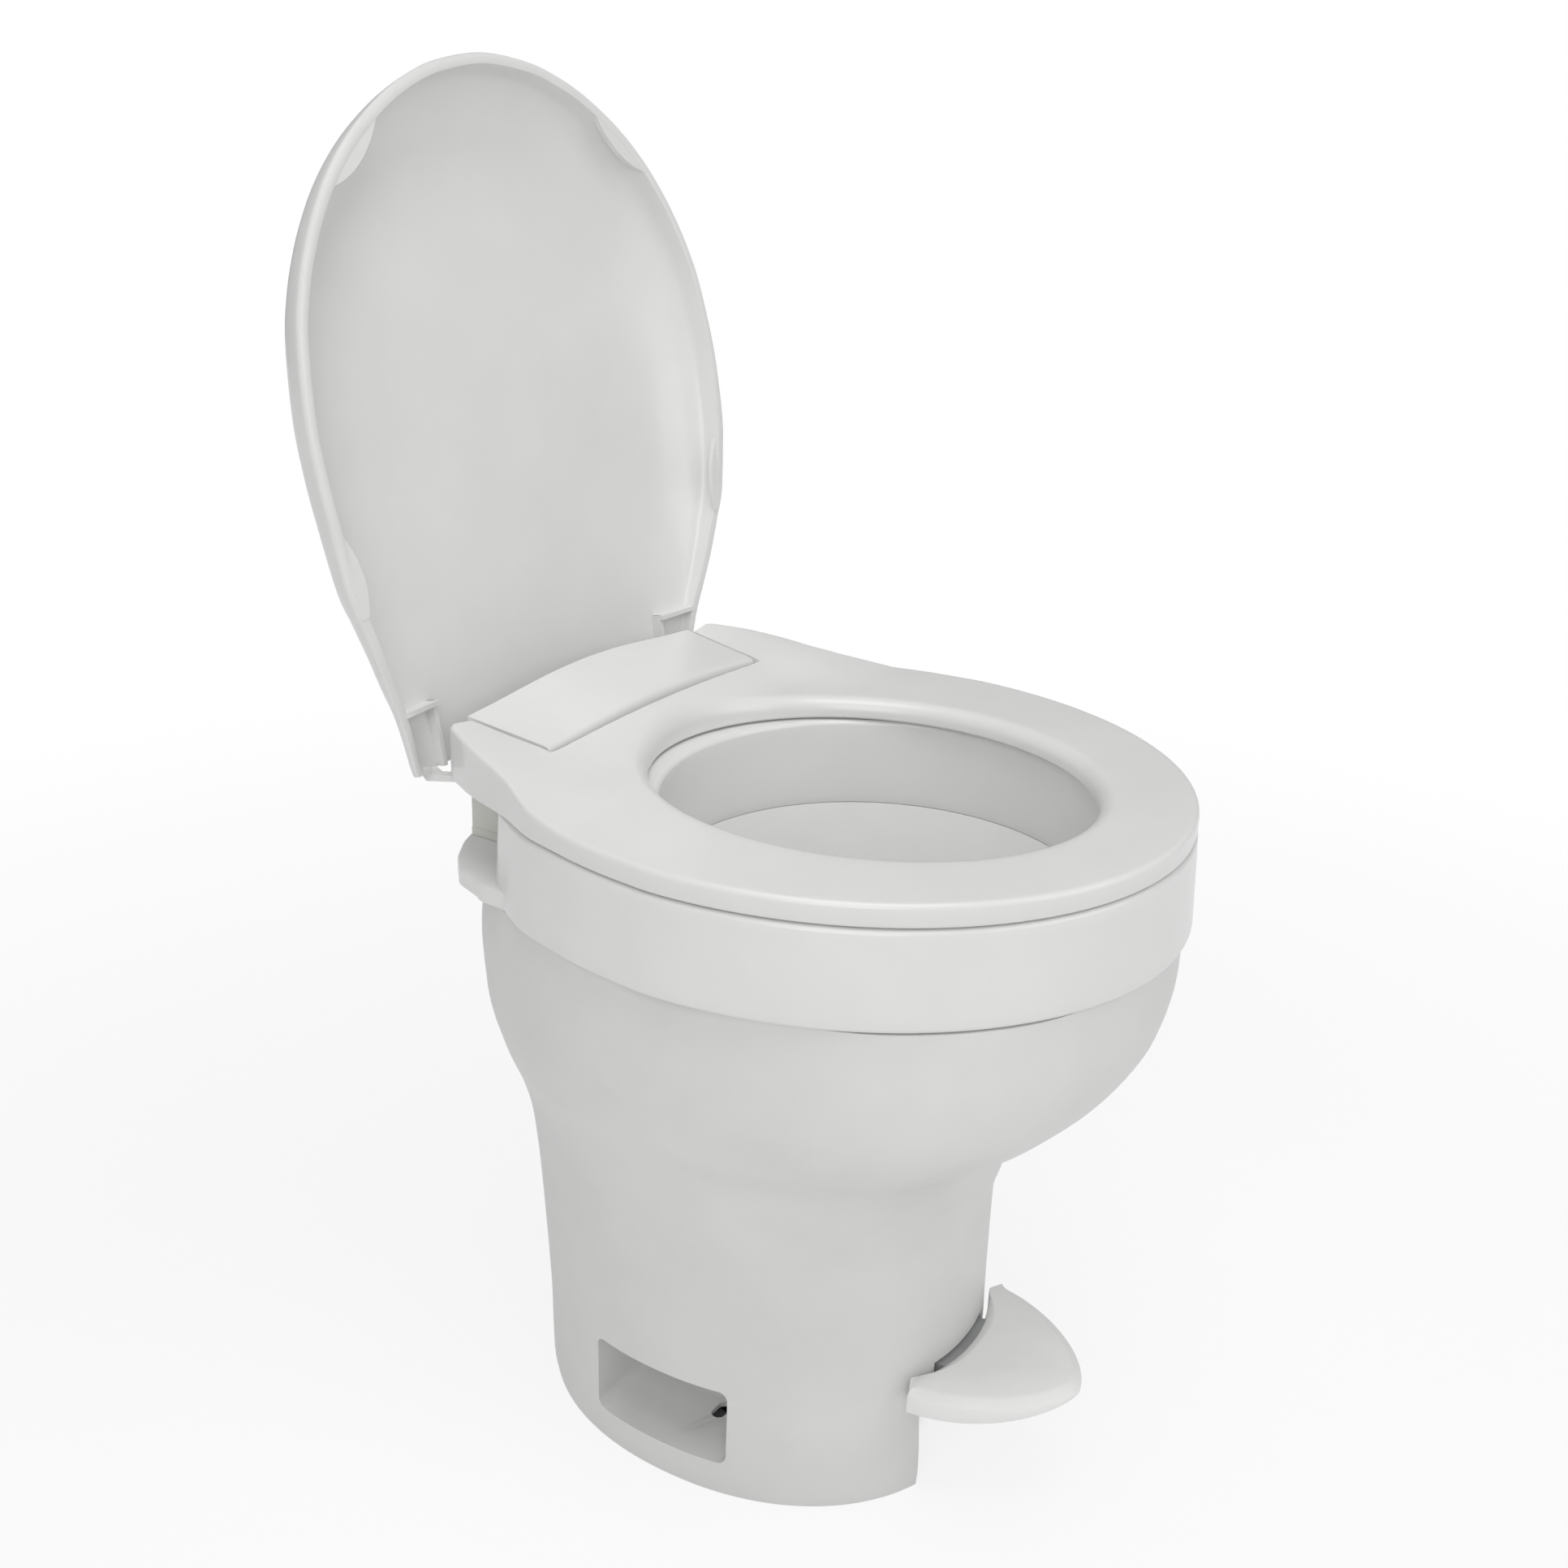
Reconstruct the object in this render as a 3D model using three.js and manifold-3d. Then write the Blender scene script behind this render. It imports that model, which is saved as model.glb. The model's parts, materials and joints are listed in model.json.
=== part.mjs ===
// A pedal-flush toilet for a motorhome: moulded pedestal, rim band, bowl, seat and lid, with the
// swinging outlet blade, its pedal and its water fittings inside. Millimetres, +Z up, the front
// faces -Y. The origin is on the floor at the middle of the base.
import * as THREE from 'three';
import * as BufferGeometryUtils from 'three/addons/utils/BufferGeometryUtils.js';
import Module from 'manifold-3d';

const wasm = await Module();
wasm.setup();

// smoothness
const LONG_SIDES = 44; // facets round the pedestal and the bowl
const LID_SIDES = 64;
const RING_SIDES = 28; // facets round the outlet parts
const ROUND_SIDES = 16; // facets round pins, tubes and bosses
const SMALL_SIDES = 10; // facets round screws and ports
const HOSE_SIDES = 4; // half the facets round a hose
const HOSE_STEPS = 16; // steps along a hose
const SEAT_FRONT_STEPS = 26;
const PAD_STEPS = 8;
const COVER_STEPS = 8;
const PEDAL_OUTER_STEPS = 22;
const PEDAL_INNER_STEPS = 10;

// clearances
const FIT = 0.3; // gap left where two pieces touch
const SEAM = 0.5; // gap along the long seams between mouldings
const OVERRUN = 5; // how far a cut runs past what it cuts

// pedestal: one oval for each level, as shares of its height and its largest reaches
const PEDESTAL_HEIGHT = 379.2;
const PEDESTAL_HALF_WIDTH = 188;
const PEDESTAL_FRONT = 239.6;
const PEDESTAL_REAR = 174.8;
const PEDESTAL_HEIGHT_SHARES = [0, 0.037, 0.158, 0.316, 0.448, 0.527, 0.58, 0.646, 0.725, 0.8175, 0.91, 1];
const PEDESTAL_WIDTH_SHARES = [
  0.653, 0.665, 0.667, 0.6835, 0.705, 0.739,
  0.77, 0.825, 0.922, 0.9915, 1, 0.9936,
];
const PEDESTAL_FRONT_SHARES = [
  0.615, 0.617, 0.608, 0.6006, 0.5985, 0.625,
  0.653, 0.714, 0.862, 0.9725, 0.9987, 1,
];
const PEDESTAL_REAR_SHARES = [0.843, 0.855, 0.863, 0.882, 0.9, 0.908, 0.913, 0.931, 0.954, 0.982, 1, 0.978];
// Corner powers of the plan's curve at each height; 2 is an ellipse.
const PEDESTAL_POWERS = [2.12, 2.12, 2.12, 2.12, 2.12, 2.12, 2.15, 2.2, 2.28, 2.32, 2.32, 2.32];
const PEDESTAL_INSIDE_LEVELS = [9, 8, 7, 5, 3, 0]; // levels repeated on the inside, from the top down
const PEDESTAL_WALL = 5;
const FOOT_DRAFT = 1; // how far the outside draws in at the floor
const FLANGE_REACH_IN = 42; // inward flange that carries the bowl
const FLANGE_THICKNESS = 4;
const FLANGE_DROP = 4.2; // from the pedestal's top to the flange

const POCKET_REAR = 52; // the hollow on each side that reaches the floor bolt
const POCKET_FRONT = -46;
const POCKET_FLOOR = 25;
const POCKET_TOP = 79;
const POCKET_INNER = 66;
const POCKET_WALL = 3.5;
const POCKET_CORNER = 7;
const POCKET_BACK_CORNER = 24;
const POCKET_BACK_STEPS = 5;
const POCKET_FRONT_STEPS = 3;
const BOLT_SLOT_X = 79;
const BOLT_SLOT_Y = -16;
const BOLT_SLOT_RADIUS = 4.5;
const BOLT_SLOT_RUN = 7; // distance between the slot's end centres

const DOOR_HALF_WIDTH = 43.1; // the opening under the pedal
const DOOR_TOP = 72;
const DOOR_ARM_HALF_WIDTH = 32; // the narrower part the pedal's arm passes
const DOOR_ARM_TOP = 87.4;
const DOOR_REACH = 100; // the opening is cut from here forward

// seat outline: half an ellipse in front, then sides that draw in to the hinge
const SEAT_HALF_WIDTH = 193.6;
const SEAT_WIDEST_Y = -31.7;
const SEAT_FRONT_LENGTH = 213;
const SEAT_THICKNESS = 13;
const SEAT_GAP = 1.2; // between the band and the seat
const SEAT_SIDE_RUN_SHARES = [0.152, 0.261, 0.371, 0.491, 0.568, 0.644, 0.743, 0.852, 0.929, 0.979, 1];
const SEAT_SIDE_WIDTH_SHARES = [
  0.9845, 0.966, 0.9396, 0.907, 0.871, 0.8326,
  0.7986, 0.7593, 0.7206, 0.6952, 0.674,
];
const SEAT_REAR_SHARES = [0.88, 0.6, 0.3, 0, -0.3, -0.6, -0.88]; // points along the straight rear edge
const SEAT_EDGE = 3.3;
const SEAT_LIP = 1.5;
const SEAT_BORDER_SIDE = 71.3; // width of the ring beside, before and behind the hole
const SEAT_BORDER_FRONT = 54.8;
const SEAT_BORDER_REAR = 12.9;
const HOLE_EDGE = 9;
const HOLE_EDGE_RUN_SHARES = [1, 0.5, 0.13, 0]; // the round of the hole's edge, from the flat inward
const HOLE_EDGE_DROP_SHARES = [0, 0.14, 0.5, 1];
const SEAT_CROSS_SHARES = [0.25, 0.5, 0.75]; // points across the flat of the ring
const CORNER_SHARE = 0.3; // where a round between two faces is broken

// rim band and rear deck
const BAND_BOTTOM = PEDESTAL_HEIGHT + SEAM;
const BAND_HEIGHT = 56.1;
const BAND_TOP = BAND_BOTTOM + BAND_HEIGHT;
const BAND_WALL = 4;
const BAND_EDGE = 3; // chamfer of the top edges
const BAND_FLARE = 3; // how far the lower edge stands out
const BAND_OUTSET = 0.6; // the band stands this far outside the seat
const BAND_FOOT = 3; // rounding of the lower edge
const BAND_REAR_Y = 101;
const BAND_SIDE_RUN_SHARES = [0.209, 0.3595, 0.51, 0.676, 0.804, 0.8945, 0.985, 1];
const BAND_SIDE_WIDTH_SHARES = [0.9845, 0.966, 0.9387, 0.904, 0.857, 0.8167, 0.7755, 0.757];
const DECK_RISE = 11.3;
const DECK_TOP = BAND_BOTTOM + DECK_RISE;
const DECK_WALL = 4;
const DECK_HALF_WIDTH = 163;
const DECK_REAR = 170;
const DECK_WIDTH_SHARES = [1, 0.98, 0.963, 0.92, 0.822, 0.712, 0.6135, 0.5, 0.245, 0];
const DECK_REAR_SHARES = [0.447, 0.6235, 0.653, 0.765, 0.853, 0.918, 0.953, 0.9765, 0.9965, 1];
const LEDGE_HALF_WIDTH = 129.5; // the oval where the band meets the bowl
const LEDGE_FRONT = 191;
const LEDGE_REAR = 66;

// bowl: one oval for each level, as shares of the ledge's oval and the bowl's depth
const BOWL_LOW = 112;
const BOWL_DEPTH_SHARES = [0, 0.075, 0.18, 0.31, 0.46, 0.629, 0.797, 0.928, 1];
const BOWL_WIDTH_SHARES = [0.247, 0.317, 0.456, 0.633, 0.795, 0.907, 0.965, 0.988, 1];
const BOWL_FRONT_SHARES = [0.251, 0.293, 0.408, 0.576, 0.749, 0.874, 0.953, 0.99, 1];
const BOWL_REAR_SHARES = [0.242, 0.379, 0.56, 0.727, 0.841, 0.917, 0.97, 0.992, 1];
const BOWL_OUTSIDE_LEVELS = [0, 2, 3, 4, 5, 7]; // levels repeated on the outside
const BOWL_WALL = 4;
const BOWL_FLANGE_REACH = 40; // how far the upper flange stands out from the ledge
const BOWL_FLANGE_THICKNESS = 3.7;
const THROAT_Y = -16;
const THROAT_RADIUS = 32;
const THROAT_FLANGE_REACH = 18;
const THROAT_FLANGE_LOW = 99;
const THROAT_FLANGE_TOP = 103;

// hinge line of the seat and the lid
const SEAT_BOTTOM = BAND_TOP + SEAT_GAP;
const SEAT_TOP = SEAT_BOTTOM + SEAT_THICKNESS;
const HINGE_Y = 144;
const HINGE_RISE = 10.4; // from the seat's underside
const HINGE_Z = SEAT_BOTTOM + HINGE_RISE;
const ARM_REAR = 7; // how far the seat's arms reach behind the hinge line
const SEAT_REAR_Y = HINGE_Y + ARM_REAR;
const SEAT_REAR_HALF_WIDTH = SEAT_HALF_WIDTH * SEAT_SIDE_WIDTH_SHARES[SEAT_SIDE_WIDTH_SHARES.length - 1];
const ARM_WIDTH = 15.5;
const NOTCH_DRAFT = 4.4;
const NOTCH_REACH = 52.6; // radius of the notch's front face about the hinge
const NOTCH_REAR_HALF_WIDTH = SEAT_REAR_HALF_WIDTH - ARM_WIDTH;
const NOTCH_FRONT_HALF_WIDTH = NOTCH_REAR_HALF_WIDTH - NOTCH_DRAFT;
const ARM_WALL = 3.3; // the outer wall of each seat arm, beside the lid's ear
const ARM_SLOT_OUTER = SEAT_REAR_HALF_WIDTH - ARM_WALL;
const ARM_SLOT_RISE = 9; // from the hinge line to the slot's flat top
const ARM_SLOT_FRONT = 13.5;
const ARM_BORE_DEPTH = 5;
const HINGE_PIN_RADIUS = 3.2;
const HINGE_BORE_RADIUS = 3.5;
const PIN_END_GAP = 0.6;
const LID_OPEN_TURN = THREE.MathUtils.degToRad(-101.64);

// how the back of the seat climbs to the hinge, as shares of its run and its height
const RISE_START_Y = 36;
const RISE_RUN = 117;
const RISE_RUN_SHARES = [0, 0.205, 0.359, 0.444, 0.513, 0.718, 1];
const RISE_MIDDLE = 17;
const RISE_MIDDLE_SHARES = [0, 0.059, 0.235, 0.412, 0.559, 0.735, 1];
const RISE_EDGE = 22.8;
const RISE_EDGE_SHARES = [0, 0.184, 0.377, 0.482, 0.561, 0.746, 1];
const RISE_CROWN = 3.5;
const CREST_INNER = 95; // between these half widths the middle's rise turns into the edge's
const CREST_OUTER = 150;
const CROWN_FRONT_Y = 70;
const CROWN_REAR_Y = 96;

const BUMPER_INSET = 34; // from the seat's outline
const BUMPER_TURNS = [0, 54].map(THREE.MathUtils.degToRad);
const BUMPER_RADIUS = 7;
const BUMPER_HEIGHT = 4.6;

// hinge bracket and bolts
const CHEEK_GAP = 4.1;
const CHEEK_OUTER = NOTCH_FRONT_HALF_WIDTH - CHEEK_GAP;
const CHEEK_WIDTH = 7;
const CHEEK_INNER = CHEEK_OUTER - CHEEK_WIDTH;
const CHEEK_BASE = 16; // reach before the hinge line at the foot of a cheek
const CHEEK_NECK = 8;
const CHEEK_HEAD = 4;
const BRACKET_EDGE = 0.5;
const BRACKET_FRONT_REACH = 38;
const BRACKET_REAR_REACH = 13;
const BRACKET_PLATE = 5;
const SEAT_BOLT_X = 70;
const SEAT_BOLT_SETBACK = 10; // before the hinge line
const SEAT_BOLT_RADIUS = 4;
const SEAT_BOLT_HEAD_RADIUS = 8;
const SEAT_BOLT_HEAD_HEIGHT = 5;
const SEAT_BOLT_REACH = 13; // below the deck
const SEAT_NUT_RADIUS = 8;
const SEAT_NUT_HEIGHT = 7;
const SEAT_NUT_SIDES = 6;

// hinge cover
const COVER_SIDE_GAP = 2.6;
const COVER_FRONT_HALF_WIDTH = NOTCH_FRONT_HALF_WIDTH - COVER_SIDE_GAP;
const COVER_REAR_HALF_WIDTH = NOTCH_REAR_HALF_WIDTH - COVER_SIDE_GAP;
const COVER_FRONT_REACH = 47.9;
const COVER_REAR_REACH = 9.3;
const COVER_FRONT_RISE = 19.6; // crown above the hinge line
const COVER_REAR_RISE = 29.6;
const COVER_FRONT_SAG = 6.4; // from the crown to the sides
const COVER_REAR_SAG = 8.1;
const COVER_FRONT_POWER = 2;
const COVER_REAR_POWER = 1.5;
const COVER_THICKNESS = 2.6;
const COVER_ROLL = 2; // how far the front edge turns down further
const COVER_ROLL_SHARE = 0.4;
const COVER_PIVOT_REACH = 7; // behind and above the hinge line
const COVER_PIVOT_RISE = 12.6;
const COVER_PIVOT_Y = HINGE_Y + COVER_PIVOT_REACH;
const COVER_PIVOT_Z = HINGE_Z + COVER_PIVOT_RISE;
const COVER_PIN_RADIUS = 2.4;
const COVER_BORE_RADIUS = 2.7;
const COVER_LUG_RADIUS = 4.1;
const COVER_LUG_WIDTH = 5.6;
const COVER_LUG_GAP = 0.9;

// lid, laid out closed with the hinge line as its origin, as shares of its half width and length
const LID_SIDE_INSET = 2.3;
const LID_OVERHANG = 3.9;
const LID_HALF_WIDTH = SEAT_HALF_WIDTH - LID_SIDE_INSET;
const LID_LENGTH = HINGE_Y - SEAT_WIDEST_Y + SEAT_FRONT_LENGTH + LID_OVERHANG;
const LID_OUTLINE_SHARES = [[0, -1], [0.209, -0.988], [0.46, -0.9425], [0.682, -0.866], [0.818, -0.79],
  [0.92, -0.7005], [0.9645, -0.637], [0.997, -0.535], [1, -0.4585], [0.988, -0.382], [0.954, -0.28],
  [0.873, -0.178], [0.784, -0.0765], [0.753, -0.0255], [0.7265, 0.0255], [0.627, 0.127], [0.418, 0.229],
  [0, 0.27]];
const LID_MIDDLE_SHARE = 0.382;
const LID_RIM_Z = 4.1;
const LID_SHOULDER = 120; // width of the curved border
const LID_OUTER_CROWN = 40.8;
const LID_OUTER_INSET_SHARES = [0.0067, 0, 0.029, 0.058, 0.117, 0.217, 0.367, 0.625, 1];
const LID_OUTER_HEIGHT_SHARES = [0.1005, 0.159, 0.441, 0.5515, 0.674, 0.784, 0.882, 0.951, 0.985];
const LID_INNER_CROWN = 37.5;
const LID_INNER_INSET_SHARES = [0.053, 0.075, 0.096, 0.15, 0.242, 0.383, 0.633, 1];
const LID_INNER_HEIGHT_SHARES = [0.109, 0.387, 0.48, 0.619, 0.752, 0.869, 0.947, 0.984];
const LID_RISE_RUN = 160; // the rim climbs from the lid's middle toward the hinge
const LID_RISE = 22;
const LID_RISE_RUN_SHARES = [0, 0.25, 0.5, 0.625, 0.75, 0.875, 1];
const LID_RISE_SHARES = [0, 0.159, 0.386, 0.568, 0.75, 0.909, 1];
const LID_REAR_END = 6.9;
const LID_FOOT_GAP = 0.8; // from the seat arm's slot to the foot wall
const LID_FOOT_WALL = 3;
const LID_SHELF_Y = -33; // small wall across each rear corner of the lid's hollow
const LID_SHELF_LOW = 20.6;
const LID_SHELF_SIDE_LOW = 27;
const LID_SHELF_INSET = 5.4; // inside the ear
const LID_SHELF_WIDTH = 39;
const PAD_THICKNESS = 3.4;
const PAD_DEPTH = 14;
const PAD_END_SHARES = [[[0.7266, -0.82], [0.4966, -0.9246]], [[0.98, -0.387], [0.8887, -0.242]]];
const EAR_GAP = 1;
const EAR_WIDTH = 7.8;
const EAR_OUTER = ARM_SLOT_OUTER - EAR_GAP;
const EAR_INNER = EAR_OUTER - EAR_WIDTH;
const EAR_RADIUS = 7;
const EAR_BARREL_INNER = CHEEK_OUTER + SEAM;
const EAR_WEB_FRONT = 9.5;
const EAR_WEB_REAR = 13.4;
const EAR_SHOULDER = 34; // height where the ear meets the lid's shell
const EAR_HEIGHT = 38.6;
const EAR_TIP = 4.6;
const EAR_FILLET = 5;

// pedal
const PIVOT_Y = -77;
const PIVOT_Z = 50;
const PEDAL_HALF_WIDTH = 65.2;
const PEDAL_BACK_Y = -140;
const PEDAL_REACH = 83.7;
const PEDAL_POWER = 1.62;
const PEDAL_TOP = 88.4;
const PEDAL_BOTTOM = 72.2;
const PEDAL_TIP_RISE = 8.3; // how far the underside climbs at the tip
const PEDAL_TIP_POWER = 3;
const PEDAL_BEVEL = 6.5;
const PEDAL_BEVEL_DROP = 4.2;
const PEDAL_INNER_HALF_WIDTH = 54.2;
const PEDAL_HUG_HALF_WIDTH = 131.8; // ellipse of the edge that hugs the column
const PEDAL_HUG_HALF_LENGTH = 146.7;
const PEDAL_HUG_Y = -2.2;
const PEDAL_HOLLOW_HALF_WIDTH = 29;
const PEDAL_HOLLOW_LENGTH = 61;
const PEDAL_HOLLOW_FRONT = PEDAL_BACK_Y - PEDAL_HOLLOW_LENGTH;
const PEDAL_SKIN = 3.2;
const PEDAL_HOLLOW_TOP = PEDAL_TOP - PEDAL_SKIN;
const ARM_GAP = 0.4; // between the arm and the pedal's hollow
const ARM_END_GAP = 1;
const ARM_TOP = PEDAL_HOLLOW_TOP - ARM_GAP;
const ARM_HALF_WIDTH = PEDAL_HOLLOW_HALF_WIDTH - ARM_END_GAP;
const ARM_THICKNESS = 9.5;
const ARM_HEEL = 7.5; // half size of the arm beside its hub
const ARM_BEND_LOW = 36; // where the arm levels out, from the pivot
const ARM_BEND_TOP = 29;
const ARM_HUB_RADIUS = 9.5;
const ARM_HUB_HALF_WIDTH = 34;
const SHAFT_RADIUS = 4.5;
const SHAFT_BORE_RADIUS = 4.85;
const SHAFT_HALF_LENGTH = 50;
const ROD_X = -14.1; // upright rod that swings the blade
const ROD_RADIUS = 3;
const ROD_START = 6.7;
const ROD_REACH = 48.5;
const ROD_LEAN = THREE.MathUtils.degToRad(-12.5);
const NOSE_INNER = 20; // cam nose that lifts the water plunger
const NOSE_OUTER = 32;
const NOSE_REACH = 23;
const NOSE_HALF_HEIGHT = 4;
const SPRING_RADIUS = 8.5;
const SPRING_WIDTH = 4.6;
const PEDAL_SCREW_Y = -182;
const PEDAL_SCREW_RADIUS = 2;
const PEDAL_SCREW_HEAD_RADIUS = 4;
const PEDAL_SCREW_HEAD_HEIGHT = 2.2;
const PEDAL_SCREW_LENGTH = 11.6;

// outlet blade and its housing
const PLATE_LOW = 85;
const PLATE_THICKNESS = 6;
const PLATE_TOP = PLATE_LOW + PLATE_THICKNESS;
const PLATE_RADIUS = 58;
const PLATE_FRONT_REACH = 19; // before the pedal's pivot
const PLATE_FRONT_HALF_WIDTH = 47;
const OUTLET_WALL = 6;
const OUTLET_RADIUS = THROAT_RADIUS + OUTLET_WALL;
const OUTLET_LOW = 6;
const HANGER_INNER = 40;
const HANGER_WIDTH = 6;
const HANGER_HALF_DEPTH = 12;
const HANGER_DROP = 11; // below the pedal's pivot
const ROD_SLOT_RADIUS = 4.6;
const ROD_SLOT_REACH = 9.8;
const BOSS_CIRCLE_RADIUS = 45;
const BOSS_TURNS = [-21, 21, 90].map(THREE.MathUtils.degToRad);
const BOSS_RADIUS = 5.5;
const PLATE_SCREW_RADIUS = 2;
const PLATE_SCREW_HOLE_RADIUS = 2.3;
const PLATE_SCREW_HEAD_RADIUS = 4;
const PLATE_SCREW_HEAD_HEIGHT = 3;
const BLADE_GAP = 2;
const BLADE_THICKNESS = 3.5;
const BLADE_LOW = PLATE_TOP + BLADE_GAP;
const BLADE_TOP = BLADE_LOW + BLADE_THICKNESS;
const BLADE_RADIUS = 37;
const BLADE_HUB_RADIUS = 12;
const BLADE_NECK_HALF_WIDTH = 9;
const BLADE_TAIL_TURN = THREE.MathUtils.degToRad(145);
const BLADE_TAIL_LENGTH = 25;
const BLADE_TAIL_HALF_WIDTH = 9;
const BLADE_SLOT_START = 10.6;
const BLADE_SLOT_HALF_WIDTH = 4.7;
const BLADE_BOLT_RADIUS = 4;
const BLADE_BORE_RADIUS = 4.3;
const BLADE_BOLT_REACH = 7; // below the plate
const BLADE_BOLT_GAP = 0.4;
const BLADE_BOLT_HEAD_HEIGHT = 3.1;
const BLADE_BOLT_HEAD_RADIUS = 7;
const SEAL_INNER = 32.6;
const SEAL_WIDTH = 6;
const FLOOR_SEAL_WIDTH = 17.4;
const FLOOR_SEAL_LOW = 0.5;
const FLOOR_SEAL_TOP = 13;

// water fittings
const VALVE_X = 26;
const VALVE_Y = -58;
const VALVE_RADIUS = 8;
const VALVE_LOW = 64.6;
const VALVE_BORE_TOP = 80;
const VALVE_BORE_RADIUS = 3.4;
const PLUNGER_RADIUS = 3;
const PLUNGER_LOW = 54.6;
const PLUNGER_LENGTH = 11.4;
const PORT_LOW_Z = 67.6;
const PORT_HIGH_Z = 78.4;
const PORT_RADIUS = 2.8;
const PORT_WALL = 1; // how far a port starts from the bore that it feeds
const PORT_END = 38.8;
const HOSE_RADIUS = 5;
const HOSE_BORE = 3.7;
const INLET_X = 40;
const INLET_Z = 66;
const INLET_RADIUS = 9;
const INLET_FRONT = 128;
const INLET_LENGTH = 30;
const INLET_FLANGE_RADIUS = 12;
const INLET_FLANGE = 4;
const INLET_BARB_LENGTH = 4;
const BREAKER_X = 60;
const BREAKER_Y = 118;
const BREAKER_RADIUS = 15;
const BREAKER_LOW = 330;
const BREAKER_HEIGHT = 40.6;
const BREAKER_WALL = 3;
const BREAKER_STEM_LENGTH = 16;
const BREAKER_VENT_RADIUS = 6;
const BREAKER_PORT_END = 40;
const FLOAT_RADIUS = 10;
const FLOAT_LIFT = 0.4; // the float's rest above the breaker's floor
const FLOAT_HEIGHT = 14;
const NOZZLE_X = -36;
const NOZZLE_Z = 352;
const NOZZLE_HOLE_RADIUS = 7;
const NOZZLE_RADIUS = 6.6;
const NOZZLE_LENGTH = 16.3;
const NOZZLE_FLANGE_RADIUS = 10;
const NOZZLE_FLANGE = 3;
const NOZZLE_TAIL = 10;
const SUPPLY_HOSE = [[40, 127, 66], [40, 123, 66], [40, 119, 66], [44, 106, 70], [66, 84, 88], [86, 52, 97],
  [92, 10, 98], [94, -22, 98], [92, -43, 96], [84, -57, 84], [70, -61, 72], [54, -59, 67.6],
  [46, -58, 67.6], [41, -58, 67.6], [36.5, -58, 67.6]];
const FLUSH_HOSE = [[36.5, -58, 78.4], [42, -58, 78.4], [50, -59, 79], [61, -63, 83], [73, -67, 97],
  [92, -48, 110], [104, 0, 113], [100, 44, 116], [84, 88, 142], [68, 112, 210], [60, 118, 280],
  [60, 118, 308], [60, 118, 316.5]];
const NOZZLE_HOSE = [[42.6, 118, 352], [37, 118, 352], [20, 116, 352], [-8, 108, 352], [-28, 98, 352],
  [-36, 88, 352], [-36, 81, 352], [-36, 77, 352], [-36, 73.8, 352]];

// finishes
const GLOSS_WHITE = { color: 0xe6e6e3, roughness: 0.22, metalness: 0 };
const SATIN_WHITE = { color: 0xdcdcd8, roughness: 0.42, metalness: 0 };
const GREY_PLASTIC = { color: 0x9c9e9d, roughness: 0.5, metalness: 0 };
const BLACK_RUBBER = { color: 0x2a2b2c, roughness: 0.8, metalness: 0 };
const STEEL = { color: 0xb9bcbf, roughness: 0.3, metalness: 0.9 };

const toilet = new THREE.Group();
toilet.name = 'rv_toilet';

// shared helpers
const solid = (geometry) => {
  const plain = geometry.clone();
  plain.deleteAttribute('normal');
  plain.deleteAttribute('uv');
  const merged = BufferGeometryUtils.mergeVertices(plain);
  return new wasm.Manifold(new wasm.Mesh({
    numProp: 3,
    vertProperties: new Float32Array(merged.attributes.position.array),
    triVerts: new Uint32Array(merged.index.array),
  }));
};

const meshFrom = (positions, index) => {
  const geometry = new THREE.BufferGeometry();
  geometry.setAttribute('position', new THREE.BufferAttribute(new Float32Array(positions), 3));
  geometry.setIndex(index);
  geometry.computeVertexNormals();
  return geometry;
};

const shaped = (body) => {
  const mesh = body.getMesh();
  return meshFrom(mesh.vertProperties, Array.from(mesh.triVerts));
};

// adds a named piece whose geometry is drawn about the point it turns on or stands at
const addPiece = (name, geometry, finish, [x, y, z] = [0, 0, 0], parent = toilet) => {
  const piece = new THREE.Mesh(geometry, new THREE.MeshStandardMaterial(finish));
  piece.name = name;
  piece.position.set(x, y, z);
  parent.add(piece);
};

const eachSide = (work) => [1, -1].forEach(work);

// the two ends along X of a piece on one side, lower one first
const ends = (side, inner, outer) => (side > 0 ? [inner, outer] : [-outer, -inner]);

const box = (x0, x1, y0, y1, z0, z1) => solid(new THREE.BoxGeometry(x1 - x0, y1 - y0, z1 - z0)
  .translate((x0 + x1) / 2, (y0 + y1) / 2, (z0 + z1) / 2));

// a turned body about the vertical line through x, y; the profile is radius and height
const turned = (profile, x, y, sides = ROUND_SIDES) => new THREE.LatheGeometry(
  profile.map(([radius, z]) => new THREE.Vector2(radius, z)), sides).rotateX(Math.PI / 2).translate(x, y, 0);

const rod = (radius, z0, z1, x, y, sides = ROUND_SIDES) => turned(
  [[0, z0], [radius, z0], [radius, z1], [0, z1]], x, y, sides);

const post = (radius, z0, z1, x, y, sides = ROUND_SIDES) => solid(rod(radius, z0, z1, x, y, sides));

const ring = (inner, outer, z0, z1) => turned(
  [[inner, z0], [outer, z0], [outer, z1], [inner, z1], [inner, z0]], 0, 0, RING_SIDES);

// a screw or bolt from low to top, with its head at the foot
const headed = (low, top, radius, headRadius, headHeight) => turned([[0, low], [headRadius, low],
  [headRadius, low + headHeight], [radius, low + headHeight], [radius, top], [0, top]], 0, 0, SMALL_SIDES);

// a bar along X or Y with its centre line at the two other values
const rodX = (radius, x0, x1, y, z, sides = ROUND_SIDES) => new THREE.CylinderGeometry(
  radius, radius, x1 - x0, sides).rotateZ(Math.PI / 2).translate((x0 + x1) / 2, y, z);

const barX = (radius, x0, x1, y, z, sides) => solid(rodX(radius, x0, x1, y, z, sides));

const barY = (radius, y0, y1, x, z, sides = ROUND_SIDES) => solid(new THREE.CylinderGeometry(
  radius, radius, y1 - y0, sides).translate(x, (y0 + y1) / 2, z));

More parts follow.
